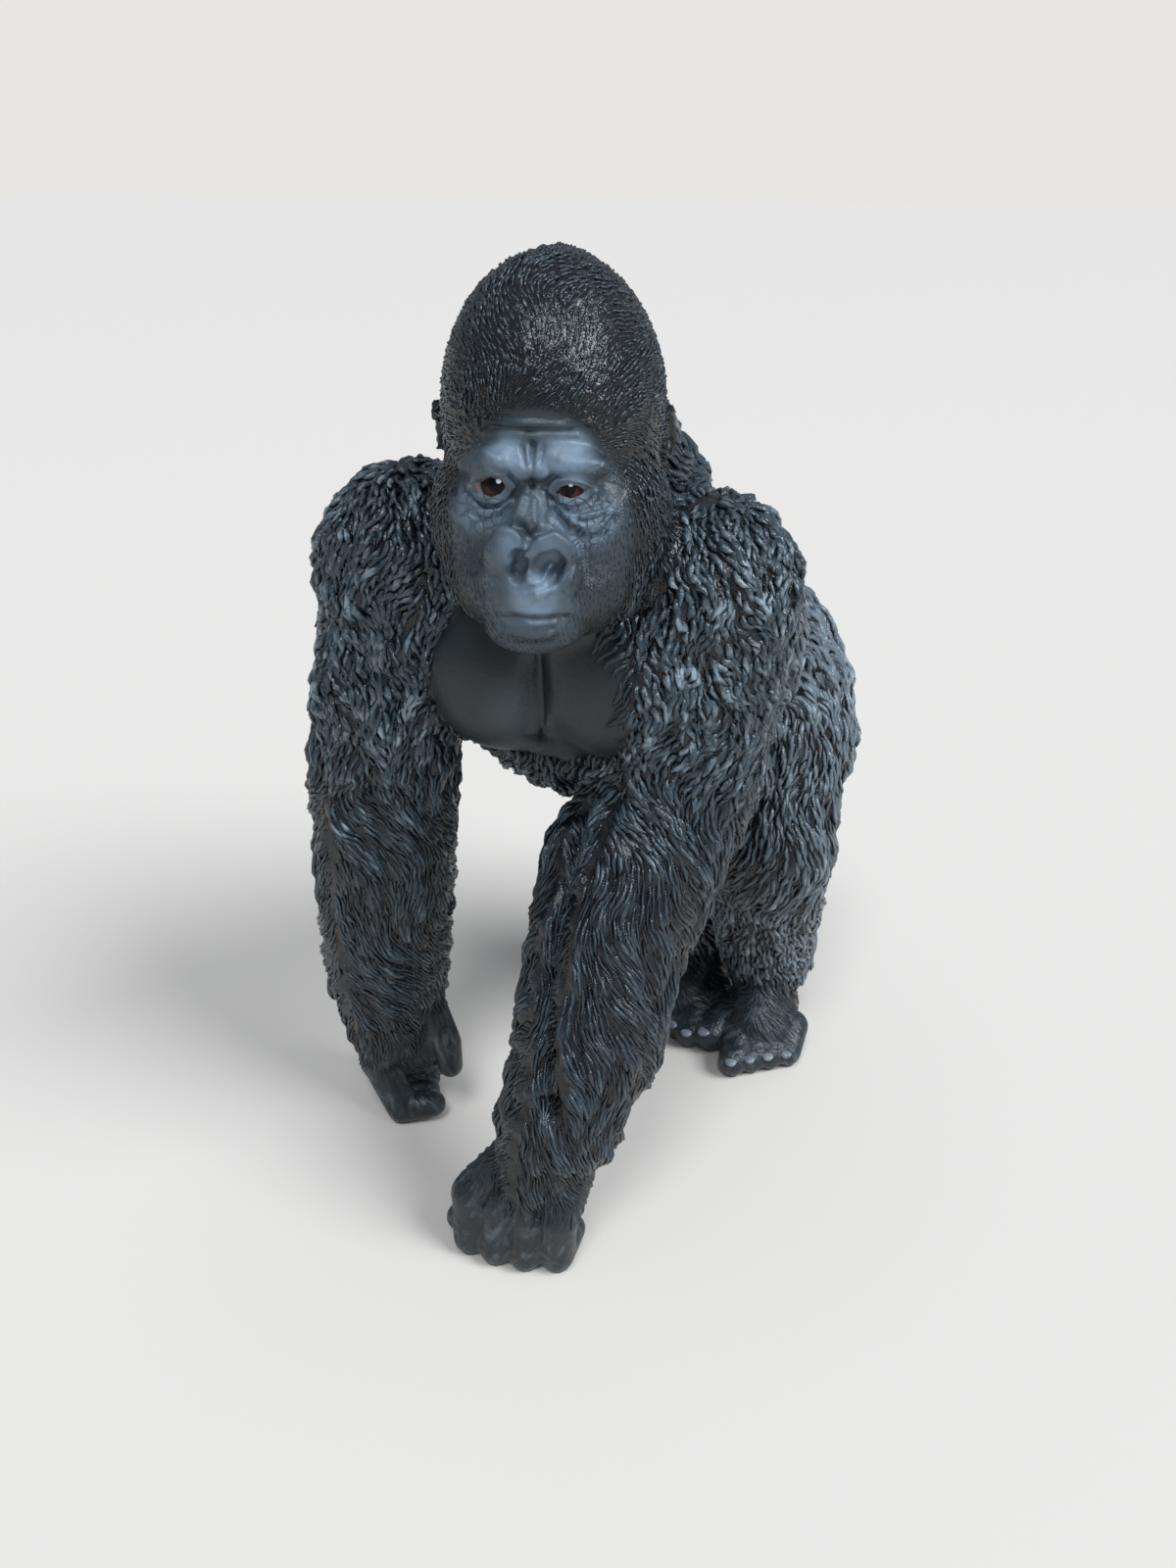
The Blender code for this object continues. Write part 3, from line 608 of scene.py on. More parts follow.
# 0 on bare skin, 1 where there is hair of any length
def hairAmount(points):
    gap = np.min([form.distance(points) for form in bareFace()], axis=0)
    gap += 0.25 * waves(points, 1.6, 9)
    return bareBody(points) * np.clip(gap / 0.8, 0.0, 1.0)


fur = {
    "lockStep": 2.3,
    "lockLength": 4.8,
    "lockWidth": 1.5,
    "lockRelief": 0.9,
    "sunk": 0.45,
    "seed": 7,
}


# Short locks laid like shingles: each swells towards its tip and drops off behind it
def locks(tree, points, normals, lie, amount, fine):
    rng = np.random.default_rng(fur["seed"])
    order = rng.permutation(np.flatnonzero(amount > 0.12))
    height = np.zeros(len(points))
    taken = np.zeros(len(points), dtype=bool)
    for i in order:
        if taken[i]:
            continue
        swing = rng.uniform(-0.3, 0.3)
        side = np.cross(normals[i], lie[i])
        away = lie[i] * math.cos(swing) + side * math.sin(swing)
        across = side * math.cos(swing) - lie[i] * math.sin(swing)
        scale = rng.uniform(0.75, 1.25)
        long, wide = fur["lockLength"] * scale * fine[i], fur["lockWidth"] * fine[i] * rng.uniform(0.8, 1.2)
        ids = np.array([hit[1] for hit in tree.find_range(points[i], long * 0.6)])
        gap = points[ids] - points[i]
        taken[ids[(gap * gap).sum(axis=1) < (fur["lockStep"] * fine[i]) ** 2]] = True
        s = gap @ away / long + 0.45
        t = (gap @ across + 0.12 * wide * np.sin(s * 7.0 + i)) / wide
        body = np.clip(s, 0.0, 1.0) * np.clip((1.0 - s) / 0.25, 0.0, 1.0)
        narrow = 1.0 - 0.6 * np.clip(s, 0.0, 1.0) ** 2
        ridge = np.clip(1.0 - (t / narrow) ** 2, 0.0, 1.0)
        facing = normals[ids] @ normals[i] > 0.2
        lift = body * ridge * facing * scale * fine[i] * amount[ids] * fur["lockRelief"]
        height[ids] = np.maximum(height[ids], lift)
    return height


def nearTree(points):
    tree = kdtree.KDTree(len(points))
    for i, point in enumerate(points):
        tree.insert(point, i)
    tree.balance()
    return tree


def pressSolesFlat(places):
    places[:, 2] = np.where(places[:, 2] < figure["sole"], 0.0, places[:, 2])
    return places


# Small locks on the head, growing to their full size away from it
def lockSize(points):
    head = Egg(onHead(0, 0, 0), (9.5, 10.5, 14.0), headAxes)
    return np.clip(0.25 + head.distance(points) / 5.0, 0.25, 1.0)


def raiseFur(item):
    places, normals = vertexTable(item)
    amount = furAmount(places)
    lie = combed(places, normals)
    fine = lockSize(places)
    coarse = locks(nearTree(places), places, normals, lie, amount, fine)
    moved = places + normals * (coarse - fur["sunk"] * fur["lockRelief"] * amount * fine)[:, None]
    moveVertices(item, moved)
    return {"places": moved, "normals": normals, "lie": lie, "hair": hairAmount(places), "thick": amount,
            "tip": np.clip(coarse / fur["lockRelief"], 0.0, 1.0), "tree": nearTree(moved)}


def newPiece(name):
    item = bpy.data.objects.new(name, bpy.data.meshes.new(name))
    bpy.context.scene.collection.objects.link(item)
    return item


# Fine hair: thickness, length, gaps across and along, how far its tips stand up, and its waviness
thickness, hairLength, gapAcross, gapAlong, tipRise, waviness = range(6)
hairKinds = {
    "head": (0.125, 0.85, 0.24, 0.50, 0.08, 0.02),
    "stubble": (0.070, 0.5, 0.24, 0.46, 0.03, 0.0),
    "body": (0.40, 2.4, 0.46, 0.98, 0.26, 0.17),
    "shoulder": (0.36, 1.75, 0.39, 0.74, 0.28, 0.15),
    "forearm": (0.20, 2.5, 0.28, 1.12, 0.12, 0.07),
    "leg": (0.30, 2.3, 0.41, 1.08, 0.18, 0.12),
    "hand": (0.15, 1.7, 0.36, 1.10, 0.07, 0.05),
}

# One lock from root to tip: how high each ring stands and how wide it is, and how bare the skin may be
hairShape = {
    "heights": (-0.7, 0.1, 0.45, 0.75, 1.0),
    "widths": (0.45, 0.95, 1.0, 0.75, 0.22),
    "barest": 0.35,
}


def mixKinds(first, second, amount):
    start, end = np.array(hairKinds[first]), np.array(hairKinds[second])
    return start[None, :] * (1 - amount[:, None]) + end[None, :] * amount[:, None]


# Which piece of hair each point of the skin belongs to, and what its hair is like
def hairRegions(points):
    groups = [headForms(), armForms()[:6] + armForms()[12:17], armForms()[6:11] + armForms()[17:],
              trunkForms(), legForms()]
    gaps = np.array([np.min([form.distance(points) for form in group], axis=0) for group in groups])
    region = np.argmin(gaps, axis=0)
    high = np.clip((points[:, 2] - 36.0) / 14.0, 0.0, 1.0)
    face = Egg(onHead(0, -9.5, -4.6), (6.4, 6.4, 8.2), headAxes)
    furred = np.clip(face.distance(points) / 1.6, 0.0, 1.0)
    looks = mixKinds("leg", "body", high)
    looks[region == 0] = mixKinds("stubble", "head", furred)[region == 0]
    arm = (region == 1) | (region == 2)
    looks[arm] = mixKinds("forearm", "shoulder", high)[arm]
    looks[region == 3] = hairKinds["body"]
    near = np.min([form.distance(points) for form in hands() + feet()], axis=0) < 0.3
    looks[near] = hairKinds["hand"]
    return region, looks


# Places for the roots, evenly thinned: closer across the hair than along it
def hairRoots(skin, chosen, looks, seed):
    rng = np.random.default_rng(seed)
    taken = np.zeros(len(skin["places"]), dtype=bool)
    roots = []
    for i in rng.permutation(chosen):
        if taken[i]:
            continue
        roots.append(i)
        across, along = looks[i, gapAcross], looks[i, gapAlong]
        ids = np.array([hit[1] for hit in skin["tree"].find_range(skin["places"][i], along)])
        gap = skin["places"][ids] - skin["places"][i]
        side = np.cross(skin["normals"][i], skin["lie"][i])
        taken[ids[(np.abs(gap @ side) < across) & (np.abs(gap @ skin["lie"][i]) < along)]] = True
    return np.array(roots)


# Grows one closed, tapering hair lock from every root, led over the skin by the lie of the hair
def growHair(name, skin, roots, looks, seed):
    rng = np.random.default_rng(seed)
    count, ringCount = len(roots), len(hairShape["heights"])
    thick = looks[roots, thickness] * rng.uniform(0.75, 1.2, count) * (0.55 + 0.45 * skin["hair"][roots])
    step = looks[roots, hairLength] * rng.uniform(0.7, 1.2, count) / (ringCount - 1)
    phase = rng.uniform(0.0, 2 * math.pi, count)
    rise = looks[roots, tipRise] * rng.uniform(0.3, 1.5, count)
    at = skin["places"][roots].copy()
    rings = np.zeros((count, ringCount, 4))
    for k in range(ringCount):
        ids = np.array([skin["tree"].find(point)[1] for point in at])
        normal, lie = skin["normals"][ids], skin["lie"][ids]
        at -= normal * ((at - skin["places"][ids]) * normal).sum(axis=1)[:, None]
        side = np.cross(normal, lie)
        wave = looks[roots, waviness] * np.sin(phase + k * 1.5)
        lift = hairShape["heights"][k] * rise - thick * 0.25
        rings[:, k, :3] = at + normal * lift[:, None] + side * wave[:, None]
        at += lie * step[:, None]
    curve = bpy.data.curves.new(name, "CURVE")
    curve.dimensions = "3D"
    curve.bevel_depth = 1.0
    curve.bevel_resolution = 0
    curve.use_fill_caps = True
    for ring, size in zip(rings, thick):
        spline = curve.splines.new("POLY")
        spline.points.add(ringCount - 1)
        spline.points.foreach_set("co", ring.ravel())
        spline.points.foreach_set("radius", [size * width for width in hairShape["widths"]])
        spline.use_smooth = True
    strands = bpy.data.objects.new(name + "Curves", curve)
    bpy.context.scene.collection.objects.link(strands)
    graph = bpy.context.evaluated_depsgraph_get()
    item = newPiece(name)
    item.data = bpy.data.meshes.new_from_object(strands.evaluated_get(graph))
    bpy.data.objects.remove(strands)
    writeAttributes(item, skin, float(np.mean(thick)) * 1.6)
    settle(item)
    print(name, count, "locks", sum(len(face.vertices) - 2 for face in item.data.polygons), "triangles")
    return item


def makeHair(skin):
    region, looks = hairRegions(skin["places"])
    pieces = []
    for n, name in enumerate(("headHair", "leftArmHair", "rightArmHair", "bodyHair", "legHair")):
        chosen = np.flatnonzero((region == n) & (skin["hair"] > hairShape["barest"]))
        pieces.append(growHair(name, skin, hairRoots(skin, chosen, looks, 20 + n), looks, 30 + n))
    return pieces


# Fewer triangles on the body, all of them kept on the face
def thinOut(item):
    places = vertexTable(item)[0]
    group = item.vertex_groups.new(name="coarse")
    gap = Egg(onHead(0, -8.5, -4.6), (7.0, 6.0, 9.4), headAxes).distance(places)
    coarse = np.round(np.clip(gap / 2.0, 0.1, 1.0) * 10).astype(int)
    for level in range(1, 11):
        group.add(np.flatnonzero(coarse == level).tolist(), level / 10.0, "REPLACE")
    faces = sum(len(face.vertices) - 2 for face in item.data.polygons)
    addModifier(item, "DECIMATE", ratio=min(1.0, figure["triangles"] / faces), vertex_group="coarse",
                vertex_group_factor=1.0, use_collapse_triangulate=True)
    applyModifiers(item)
    item.vertex_groups.clear()


# Writes how the hair lies, how much there is and how high each place stands, for the paint to follow
def writeAttributes(item, skin, rise):
    places = vertexTable(item)[0]
    ids = np.array([skin["tree"].find(place)[1] for place in places])
    above = ((places - skin["places"][ids]) * skin["normals"][ids]).sum(axis=1)
    lie = item.data.attributes.new("lie", "FLOAT_VECTOR", "POINT")
    lie.data.foreach_set("vector", skin["lie"][ids].astype(np.float32).ravel())
    values = {"hair": skin["hair"][ids], "thick": skin["thick"][ids],
              "tip": skin["tip"][ids] * 0.3 + np.clip(above / rise, -1.0, 1.0) * 0.7}
    for name, value in values.items():
        layer = item.data.attributes.new(name, "FLOAT", "POINT")
        layer.data.foreach_set("value", value.astype(np.float32))


# From the figure's own millimetres to the frame's metres
def settled(places):
    return (places + np.array(figure["shift"])) * figure["millimetre"]


def settle(item):
    moveVertices(item, settled(pressSolesFlat(vertexTable(item)[0])))
    item.data.shade_smooth()


def makeFigure():
    item = newPiece("gorillaFigure")
    fuse(item, trunkForms() + chestForms() + armForms() + legForms() + headForms(),
         figure["bodyVoxel"], figure["bodySmoothing"])
    inward = headAxes @ np.array([0.0, 1.0, 0.0])
    for side in (-1, 1):
        at = (side * (headShape["eyeGap"] + 0.15), -9.6, headShape["eyeHeight"])
        press(item, [faceEgg(at, (1.4, 1.6, 0.5), roll=side * 6)], inward * 1.3, 1.3)
    chest = trunkShape["chestAt"]
    cleft = Rod(beside(chest, (1.4, -13.4, 1.5)), beside(chest, (1.1, -12.9, -7.0)), 0.2, 0.2)
    press(item, [cleft], (0.0, 1.5, 0.0), 1.6)
    fuse(item, faceForms() + hands() + feet(), figure["fineVoxel"], figure["fineSmoothing"])
    print("fused", len(item.data.vertices))
    refineFace(item)
    sculptSkin(item)
    skin = raiseFur(item)
    print("furred", len(item.data.vertices))
    thinOut(item)
    writeAttributes(item, skin, 1.0)
    settle(item)
    print("figure triangles", len(item.data.polygons))
    return item, skin


# A painted eye is a closed ball that lies just proud of the moulded one
eyes = {
    "radius": 1.63,
    "around": 32,
    "rings": 24,
    "depth": -7.82,
}


def makeEye(name, side):
    item = newPiece(name)
    bm = bmesh.new()
    at = onHead(side * headShape["eyeGap"] + headShape["faceMiddle"], eyes["depth"], headShape["eyeHeight"])
    bmesh.ops.create_uvsphere(bm, u_segments=eyes["around"], v_segments=eyes["rings"], radius=eyes["radius"])
    bm.to_mesh(item.data)
    bm.free()
    moveVertices(item, settled(vertexTable(item)[0] + at))
    item.data.shade_smooth()
    return item, settled(at)


# A pale nail on the top of each toe, a little flattened egg sunk into it; its pale paint is partly a painted
# glint on the toe tip
nailLook = {
    "size": (0.62, 0.62, 0.25),
    # Pale nail paint, partly a painted glint
    "colour": (0.20, 0.23, 0.26, 1),
    "roughness": 0.28,
}


def makeNails():
    item = newPiece("toeNails")
    bm = bmesh.new()
    for toe in toes():
        ahead = unit(toe.end - toe.start)
        across = unit(np.cross(ahead, up))
        over = np.cross(across, ahead)
        at = toe.end + ahead * toe.thick[1] * 0.55 + over * toe.thick[1] * 0.72
        turn = Matrix(np.array([across, ahead, over]).T.tolist()).to_4x4()
        size = Matrix.Diagonal((*(np.array(nailLook["size"]) * toe.thick[1] / 1.5), 1.0))
        place = Matrix.Translation(Vector(at)) @ turn @ size
        bmesh.ops.create_icosphere(bm, subdivisions=3, radius=1.0, matrix=place)
    bm.to_mesh(item.data)
    bm.free()
    settle(item)
    material, tree, shader = newMaterial("nailPaint")
    place = node(tree, "ShaderNodeTexCoord", {}, out=3)
    grime = node(tree, "ShaderNodeTexNoise", {}, place, None, 900.0, 3.0, 0.6)
    # Pale nail paint, partly a painted glint, spotted darker with grime
    colour = mixColour(tree, grime.between(0.35, 0.75) * 0.7, nailLook["colour"], paint["base"])
    tree.links.new(colour.socket, shader.inputs["Base Color"])
    shader.inputs["Roughness"].default_value = nailLook["roughness"]
    item.data.materials.append(material)
    return item


# Wraps a socket so that shader maths reads like any other
class Value:

    def __init__(self, tree, socket):
        self.tree = tree
        self.socket = socket

    def math(self, operation, *others):
        return node(self.tree, "ShaderNodeMath", {"operation": operation}, self, *others)

    def __add__(self, other):
        return self.math("ADD", other)

    def __sub__(self, other):
        return self.math("SUBTRACT", other)

    def __mul__(self, other):
        return self.math("MULTIPLY", other)

    def __truediv__(self, other):
        return self.math("DIVIDE", other)

    def __rsub__(self, other):
        return node(self.tree, "ShaderNodeMath", {"operation": "SUBTRACT"}, other, self)

    __radd__ = __add__
    __rmul__ = __mul__

    def clamp(self):
        return node(self.tree, "ShaderNodeClamp", {}, self, 0.0, 1.0)

    # 0 below low, 1 above high, soft between
    def between(self, low, high):
        settings = {"interpolation_type": "SMOOTHSTEP"}
        return node(self.tree, "ShaderNodeMapRange", settings, self, low, high, 0.0, 1.0)


# Adds a node: its settings first, then the values or links of its sockets
def node(tree, kind, settings, *inputs, out=0, **named):
    made = tree.nodes.new(kind)
    for name, value in settings.items():
        setattr(made, name, value)
    pairs = list(zip(made.inputs, inputs)) + [(made.inputs[key], value) for key, value in named.items()]
    for socket, value in pairs:
        if isinstance(value, Value):
            tree.links.new(value.socket, socket)
        elif value is not None:
            socket.default_value = value
    return Value(tree, made.outputs[out])


# The colour sockets of a Mix node come after five for numbers and vectors
def mixColour(tree, amount, first, second):
    return node(tree, "ShaderNodeMix", {"data_type": "RGBA"}, amount, *[None] * 5, first, second, out=2)


def vectorMath(tree, operation, *inputs, out=0, **named):
    return node(tree, "ShaderNodeVectorMath", {"operation": operation}, *inputs, out=out, **named)


def newMaterial(name):
    material = bpy.data.materials.new(name)
    material.use_nodes = True
    shader = material.node_tree.nodes["Principled BSDF"]
    return material, material.node_tree, shader


paint = {
    # paintedShade: near-black painted shade for crevices, cracks, nostrils and folds
    "paintedShade": (0.003, 0.005, 0.007, 1),
    "base": (0.030, 0.048, 0.063, 1),
    "faceSkin": (0.068, 0.098, 0.126, 1),
    "bareSkin": (0.009, 0.016, 0.021, 1),
    # dryBrushAndHighlight: blue grey dry-brush paint, partly a painted highlight on tips and knuckles
    "dryBrushAndHighlight": (0.340, 0.425, 0.490, 1),
    # paleBlueAndHighlight: paler blue of brow, eye bags and lips, partly a painted highlight
    "paleBlueAndHighlight": (0.165, 0.232, 0.310, 1),
    "warm": (0.060, 0.063, 0.055, 1),
    # saddleAndPaintedLight: silver grey saddle, partly painted light on the back and legs
    "saddleAndPaintedLight": (0.165, 0.205, 0.242, 1),
    "furRoughness": 0.24,
    "skinRoughness": 0.42,
}

# How fine each pattern of the paint is, in features per metre
grains = {
    "combing": 3800.0,
    "wrinkles": 1500.0,
    "blotches": 110.0,
    "mottle": 420.0,
    "speckle": 700.0,
    "pores": 2600.0,
    "cracks": 1300.0,
}

# Soft round spots on the head and chest in head coordinates: centre, radius and width of the soft edge
spots = {
    "face": ((-0.3, -10.0, -3.6), 4.6, 3.6),
    "chin": ((-0.2, -10.8, -10.6), 1.8, 2.4),
    # A painted sheen on the chest
    "paintedSheenOnChest": ((-2.6, -5.0, -21.0), 1.0, 3.6),
    # Brow, eye bag, lip and nose tip spots: paler paint, partly a painted highlight
    "rightBrow": ((-1.7, -9.4, 1.1), 0.8, 1.4),
    "leftBrow": ((2.0, -9.2, 1.1), 1.0, 1.8),
    "rightBag": ((-4.0, -8.6, -2.4), 1.4, 1.4),
    "leftBag": ((3.4, -8.9, -2.9), 1.6, 1.5),
    "upperLip": ((0.2, -12.2, -8.0), 0.9, 1.3),
    "noseTip": ((0.0, -12.2, -5.0), 1.4, 1.6),
    "forehead": ((0.2, -9.0, 4.2), 1.4, 2.2),
    # Nostril spots: painted shade in the nostrils
    "rightNostril": ((-0.85, -12.0, -5.7), 0.35, 0.5),
    "leftNostrilInner": ((0.6, -12.0, -5.6), 0.2, 0.45),
    "leftNostrilTop": ((1.4, -12.0, -5.2), 0.2, 0.45),
    "leftNostrilOuter": ((1.85, -11.8, -5.9), 0.2, 0.45),
    # Fold, jaw, nose top and between-eyes spots: painted shade
    "rightFold": ((-4.3, -9.8, -6.0), 1.0, 2.4),
    "leftFold": ((4.2, -9.8, -6.6), 1.0, 2.2),
    "jaw": ((-0.2, -10.0, -11.8), 1.6, 2.4),
    "noseTop": ((-0.2, -11.6, -3.2), 0.4, 0.8),
    "betweenEyes": ((-0.2, -9.3, -0.6), 0.3, 1.0),
}


# Noise drawn out along the hair: the mean of several samples taken up and down the lie of it
def combedNoise(tree, place, lie, scale, reach, samples):
    total = None
    for n in range(samples):
        along = (n / (samples - 1) - 0.5) * reach
        shift = vectorMath(tree, "SCALE", lie, Scale=along) if along else None
        at = vectorMath(tree, "ADD", place, shift) if shift else place
        sample = node(tree, "ShaderNodeTexNoise", {"noise_dimensions": "3D"}, at, None, scale, 1.0, 0.5)
        total = sample if total is None else total + sample
    return total / samples


def spot(tree, place, name):
    at, radius, soft = spots[name]
    gap = vectorMath(tree, "DISTANCE", place, tuple(settled(onHead(*at))), out=1)
    return 1.0 - gap.between(radius * figure["millimetre"], (radius + soft) * figure["millimetre"])


def heightAlong(tree, place, axis, low, high):
    return node(tree, "ShaderNodeSeparateXYZ", {}, place, out=axis).between(low, high)


def noise(tree, place, name, detail, rough):
    return node(tree, "ShaderNodeTexNoise", {}, place, None, grains[name], detail, rough)


# Fur: painted shade between the locks, blue grey dry-brush on their tips that is partly a painted highlight,
# and a paler saddle over the back and legs that is partly painted light
def furPaint(tree, place, tip, fineHair, face):
    # Paler towards the back: a silver saddle that is partly painted light on the rump and legs
    hind = heightAlong(tree, place, 1, -0.002, 0.013)
    blotch = noise(tree, place, "blotches", 3.0, 0.6)
    speckle = noise(tree, place, "speckle", 2.0, 0.5)
    # Painted shade: near black low between the locks, the base colour on their raised parts
    dark = mixColour(tree, tip.between(0.05, 0.5), paint["paintedShade"], paint["base"])
    # Dry-brush on the lock tips and along the combed hair, partly a painted highlight, stronger towards the
    # back
    tipDryBrushAndHighlight = tip.between(0.4, 0.9) * speckle.between(0.42, 0.62) * 0.95
    tipDryBrushAndHighlight = tipDryBrushAndHighlight + fineHair.between(0.5, 0.95) * tip.between(0.2, 0.6) * 0.35
    tipDryBrushAndHighlight = tipDryBrushAndHighlight * (0.3 + 0.7 * blotch.between(0.35, 0.62)) * (1.0 + 0.8 * hind)
    warmth = blotch.between(0.56, 0.72) * tip.between(0.2, 0.6) * 0.15
    colour = mixColour(tree, warmth, dark, paint["warm"])
    colour = mixColour(tree, hind * tip.between(0.1, 0.5) * 0.7, colour, paint["saddleAndPaintedLight"])
    colour = mixColour(tree, tipDryBrushAndHighlight.clamp(), colour, paint["dryBrushAndHighlight"])
    return mixColour(tree, face * 0.55, colour, paint["faceSkin"])


# Bare skin: dark on chest, hands and feet, blue grey on the face with paler brow, eye bags and lips, that
# paleness partly a painted highlight; a painted sheen on the chest and painted shade in cracks and nostrils
def skinPaint(tree, place, face, bag, crack, wrinkles, low):
    mottle = noise(tree, place, "mottle", 3.0, 0.6)
    speckle = noise(tree, place, "speckle", 2.0, 0.5)
    # Dry-brush over the wrinkles of hands and feet, partly a painted highlight on the knuckles
    knuckles = wrinkles * speckle.between(0.45, 0.65) * 0.15
    colour = mixColour(tree, knuckles, paint["bareSkin"], paint["dryBrushAndHighlight"])
    # Painted sheen: a soft paler patch on the upper chest in place of a highlight
    paintedChestSheen = spot(tree, place, "paintedSheenOnChest") * (1.0 - low) * 0.4
    colour = mixColour(tree, paintedChestSheen, colour, paint["faceSkin"])
    colour = mixColour(tree, face * (0.5 + 0.5 * mottle.between(0.2, 0.7)), colour, paint["faceSkin"])
    # Paler blue on brow, eye bags, upper lip and nose tip, partly a painted highlight
    brow = spot(tree, place, "rightBrow") + spot(tree, place, "leftBrow")
    lip = spot(tree, place, "upperLip") + spot(tree, place, "noseTip") * 0.35
    pale = (brow + bag * 0.6 + lip).clamp() * mottle.between(0.2, 0.6)
    colour = mixColour(tree, pale, colour, paint["paleBlueAndHighlight"])
    colour = mixColour(tree, spot(tree, place, "forehead") * 0.6, colour, paint["base"])
    # Painted shade in the cracks of the eye bags
    colour = mixColour(tree, crack * bag.clamp() * 0.45, colour, paint["paintedShade"])
    # Painted shade in the nostrils
    nostrilShade = spot(tree, place, "rightNostril")
    for name in ("leftNostrilInner", "leftNostrilTop", "leftNostrilOuter"):
        nostrilShade = nostrilShade + spot(tree, place, name)
    return mixColour(tree, nostrilShade.clamp() * 0.85, colour, paint["paintedShade"])


def vinylMaterial():
    material, tree, shader = newMaterial("paintedVinyl")
    place = node(tree, "ShaderNodeTexCoord", {}, out=3)
    lie = node(tree, "ShaderNodeAttribute", {"attribute_name": "lie"}, out=1)
    haired = node(tree, "ShaderNodeAttribute", {"attribute_name": "hair"}, out=2)
    thick = node(tree, "ShaderNodeAttribute", {"attribute_name": "thick"}, out=2)
    tip = node(tree, "ShaderNodeAttribute", {"attribute_name": "tip"}, out=2)
    combing = combedNoise(tree, place, lie, grains["combing"], 0.0012, 6)
    fineHair = (combing - 0.5) * 2.6 + 0.5
    pores = noise(tree, place, "pores", 3.0, 0.6)
    toEdge = {"feature": "DISTANCE_TO_EDGE"}
    cracks = node(tree, "ShaderNodeTexVoronoi", toEdge, place, None, grains["cracks"])
    crack = 1.0 - cracks.between(0.02, 0.16)
    low = 1.0 - heightAlong(tree, place, 2, 0.010, 0.018)
    wrinkles = combedNoise(tree, place, lie, grains["wrinkles"], 0.0014, 5).between(0.42, 0.62) * low
    face = (spot(tree, place, "face") + spot(tree, place, "chin") * 0.6).clamp()
    bag = spot(tree, place, "rightBag") + spot(tree, place, "leftBag")
    furColour = furPaint(tree, place, tip, fineHair, face)
    skinColour = skinPaint(tree, place, face, bag, crack, wrinkles, low)
    colour = mixColour(tree, thick.between(0.1, 0.7), skinColour, furColour)
    # Painted shade in the folds beside the muzzle, above the nose, between the eyes and under the jaw
    fold = spot(tree, place, "rightFold") + spot(tree, place, "leftFold")
    notch = spot(tree, place, "noseTop") + spot(tree, place, "betweenEyes")
    shade = fold * 0.6 + notch * 0.5 + spot(tree, place, "jaw") * 0.15
    colour = mixColour(tree, shade.clamp(), colour, paint["paintedShade"])
    tree.links.new(colour.socket, shader.inputs["Base Color"])
    rough = thick * (paint["furRoughness"] - paint["skinRoughness"]) + paint["skinRoughness"]
    rough = rough + (pores - 0.5) * 0.3
    tree.links.new(rough.socket, shader.inputs["Roughness"])
    bare = 1.0 - thick.clamp()
    relief = fineHair * haired.between(0.1, 0.6) * 0.00012 + pores * bare * 0.00005
    relief = relief - crack * bag.clamp() * bare * 0.00006 + wrinkles * bare * 0.00010
    bump = node(tree, "ShaderNodeBump", {}, Strength=0.8, Distance=1.0, Height=relief)
    tree.links.new(bump.socket, shader.inputs["Normal"])
    return material


eyePaint = {
    "white": (0.19, 0.13, 0.125, 1),
    "iris": (0.060, 0.016, 0.010, 1),
    "irisEdge": (0.010, 0.004, 0.004, 1),
    "pupil": (0.002, 0.002, 0.003, 1),
    "glint": (0.85, 0.88, 0.92, 1),
    "irisRadius": 1.15,
    "pupilRadius": 0.5,
    "glintRadius": 0.13,
    "mirror": 0.15,
    "roughness": 0.15,
}


# Rings round the point that looks ahead, and a small glint painted up and to its side
def eyeMaterial(name, centre, gaze):
    material, tree, shader = newMaterial(name)
    place = node(tree, "ShaderNodeTexCoord", {}, out=3)
    irisRadius, pupilRadius = eyePaint["irisRadius"], eyePaint["pupilRadius"]
    glintRadius = eyePaint["glintRadius"]
    reach = eyes["radius"] * figure["millimetre"]
    front = centre + headAxes @ unit(gaze) * reach
    gap = vectorMath(tree, "DISTANCE", place, tuple(front), out=1) / figure["millimetre"]
    fleck = node(tree, "ShaderNodeTexNoise", {}, place, None, 1800.0, 2.0, 0.5)
    iris = mixColour(tree, fleck.between(0.35, 0.65), eyePaint["irisEdge"], eyePaint["iris"])
    iris = mixColour(tree, gap.between(irisRadius - 0.3, irisRadius), iris, eyePaint["irisEdge"])
    colour = mixColour(tree, gap.between(pupilRadius, pupilRadius + 0.12), eyePaint["pupil"], iris)
    colour = mixColour(tree, gap.between(irisRadius, irisRadius + 0.12), colour, eyePaint["white"])
    shine = centre + headAxes @ unit(np.array(gaze) + np.array((0.12, 0.0, 0.16))) * reach
    spark = vectorMath(tree, "DISTANCE", place, tuple(shine), out=1) / figure["millimetre"]
    colour = mixColour(tree, spark.between(glintRadius, glintRadius + 0.1), eyePaint["glint"], colour)
    tree.links.new(colour.socket, shader.inputs["Base Color"])
    shader.inputs["Roughness"].default_value = eyePaint["roughness"]
    shader.inputs["Specular IOR Level"].default_value = eyePaint["mirror"]
    return material


figureItem, figureSkin = makeFigure()
vinyl = vinylMaterial()
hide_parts("gorilla")
for piece in [figureItem] + makeHair(figureSkin):
    piece.data.materials.clear()
    piece.data.materials.append(vinyl)
    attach(piece, "root")

for name, side, gaze in (("rightEye", -1, (0.12, -1.0, 0.16)), ("leftEye", 1, (0.0, -1.0, 0.1))):
    eyeItem, eyeCentre = makeEye(name, side)
    eyeItem.data.materials.append(eyeMaterial(name + "Paint", eyeCentre, gaze))
    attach(eyeItem, "root")
nails = makeNails()
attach(nails, "root")
print("eyes and nails painted")

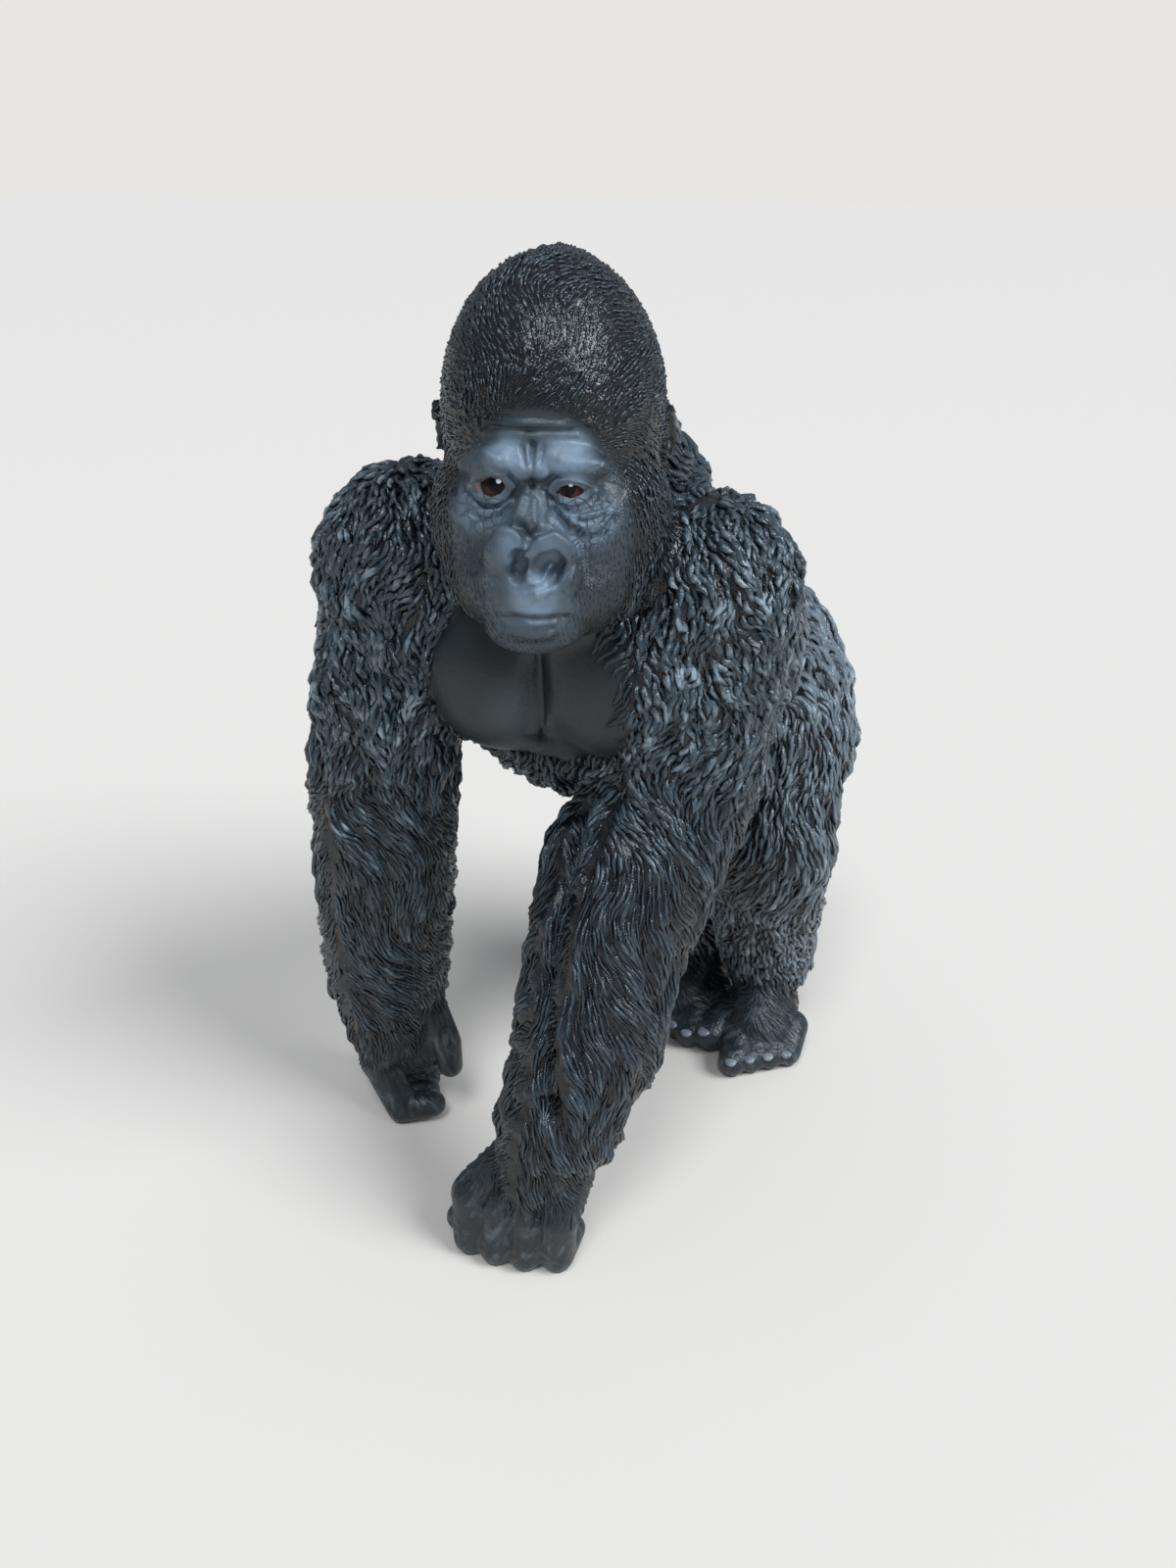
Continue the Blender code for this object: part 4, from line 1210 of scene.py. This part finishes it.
stage = {
    "floorColour": (0.75, 0.705, 0.65, 1),
    "backColour": (0.80, 0.79, 0.765, 1),
    "skyColour": (0.80, 0.86, 0.95, 1),
    "ambient": 0.38,
    "cameraAt": (43.63, -97.68, 90.28),
    "azimuth": 24.0,
    "elevation": 27.0,
    "lens": 28.125,
    "sensor": 36.0,
}

# Azimuth, elevation and softness in degrees, strength and colour
lamps = {
    "windowLamp": (86, 44, 30, 2.6, (0.89, 0.95, 1.0)),
    "topLamp": (12, 60, 20, 1.25, (0.89, 0.95, 1.0)),
}


# Points from the figure towards a lamp or the camera
def toward(azimuth, elevation):
    a, e = math.radians(azimuth), math.radians(elevation)
    return Vector((math.sin(a) * math.cos(e), -math.cos(a) * math.cos(e), math.sin(e)))


def makeFloor():
    item = newPiece("floor")
    bm = bmesh.new()
    bmesh.ops.create_grid(bm, x_segments=1, y_segments=1, size=3.0)
    bm.to_mesh(item.data)
    bm.free()
    material, _, shader = newMaterial("paleFloor")
    shader.inputs["Base Color"].default_value = stage["floorColour"]
    shader.inputs["Roughness"].default_value = 0.7
    item.data.materials.append(material)


def makeLamp(name, azimuth, elevation, softness, strength, colour):
    data = bpy.data.lights.new(name, "SUN")
    data.energy = strength
    data.angle = math.radians(softness)
    data.color = colour
    lamp = bpy.data.objects.new(name, data)
    bpy.context.scene.collection.objects.link(lamp)
    lamp.rotation_euler = toward(azimuth, elevation).to_track_quat("Z", "Y").to_euler()


def makeWorld():
    world = bpy.data.worlds.new("softRoom")
    bpy.context.scene.world = world
    world.use_nodes = True
    tree = world.node_tree
    background = tree.nodes["Background"]
    seen = node(tree, "ShaderNodeLightPath", {})    # 1 where the camera sees the room itself
    colour = mixColour(tree, seen, stage["skyColour"], stage["backColour"])
    tree.links.new(colour.socket, background.inputs["Color"])
    strength = seen * (1.0 - stage["ambient"]) + stage["ambient"]
    tree.links.new(strength.socket, background.inputs["Strength"])


def makeCamera():
    data = bpy.data.cameras.new("photoCamera")
    data.sensor_fit = "AUTO"
    data.sensor_width = stage["sensor"]
    data.lens = stage["lens"]
    data.clip_start = 0.005
    data.clip_end = 10.0
    camera = bpy.data.objects.new("photoCamera", data)
    bpy.context.scene.collection.objects.link(camera)
    camera.location = Vector(stage["cameraAt"]) * figure["millimetre"]
    camera.rotation_mode = "QUATERNION"
    camera.rotation_quaternion = (-toward(stage["azimuth"], stage["elevation"])).to_track_quat("-Z", "Y")
    bpy.context.scene.camera = camera


makeFloor()
for name, look in lamps.items():
    makeLamp(name, *look)
makeWorld()
makeCamera()
bpy.context.scene.view_settings.view_transform = "Standard"
print("stage set")
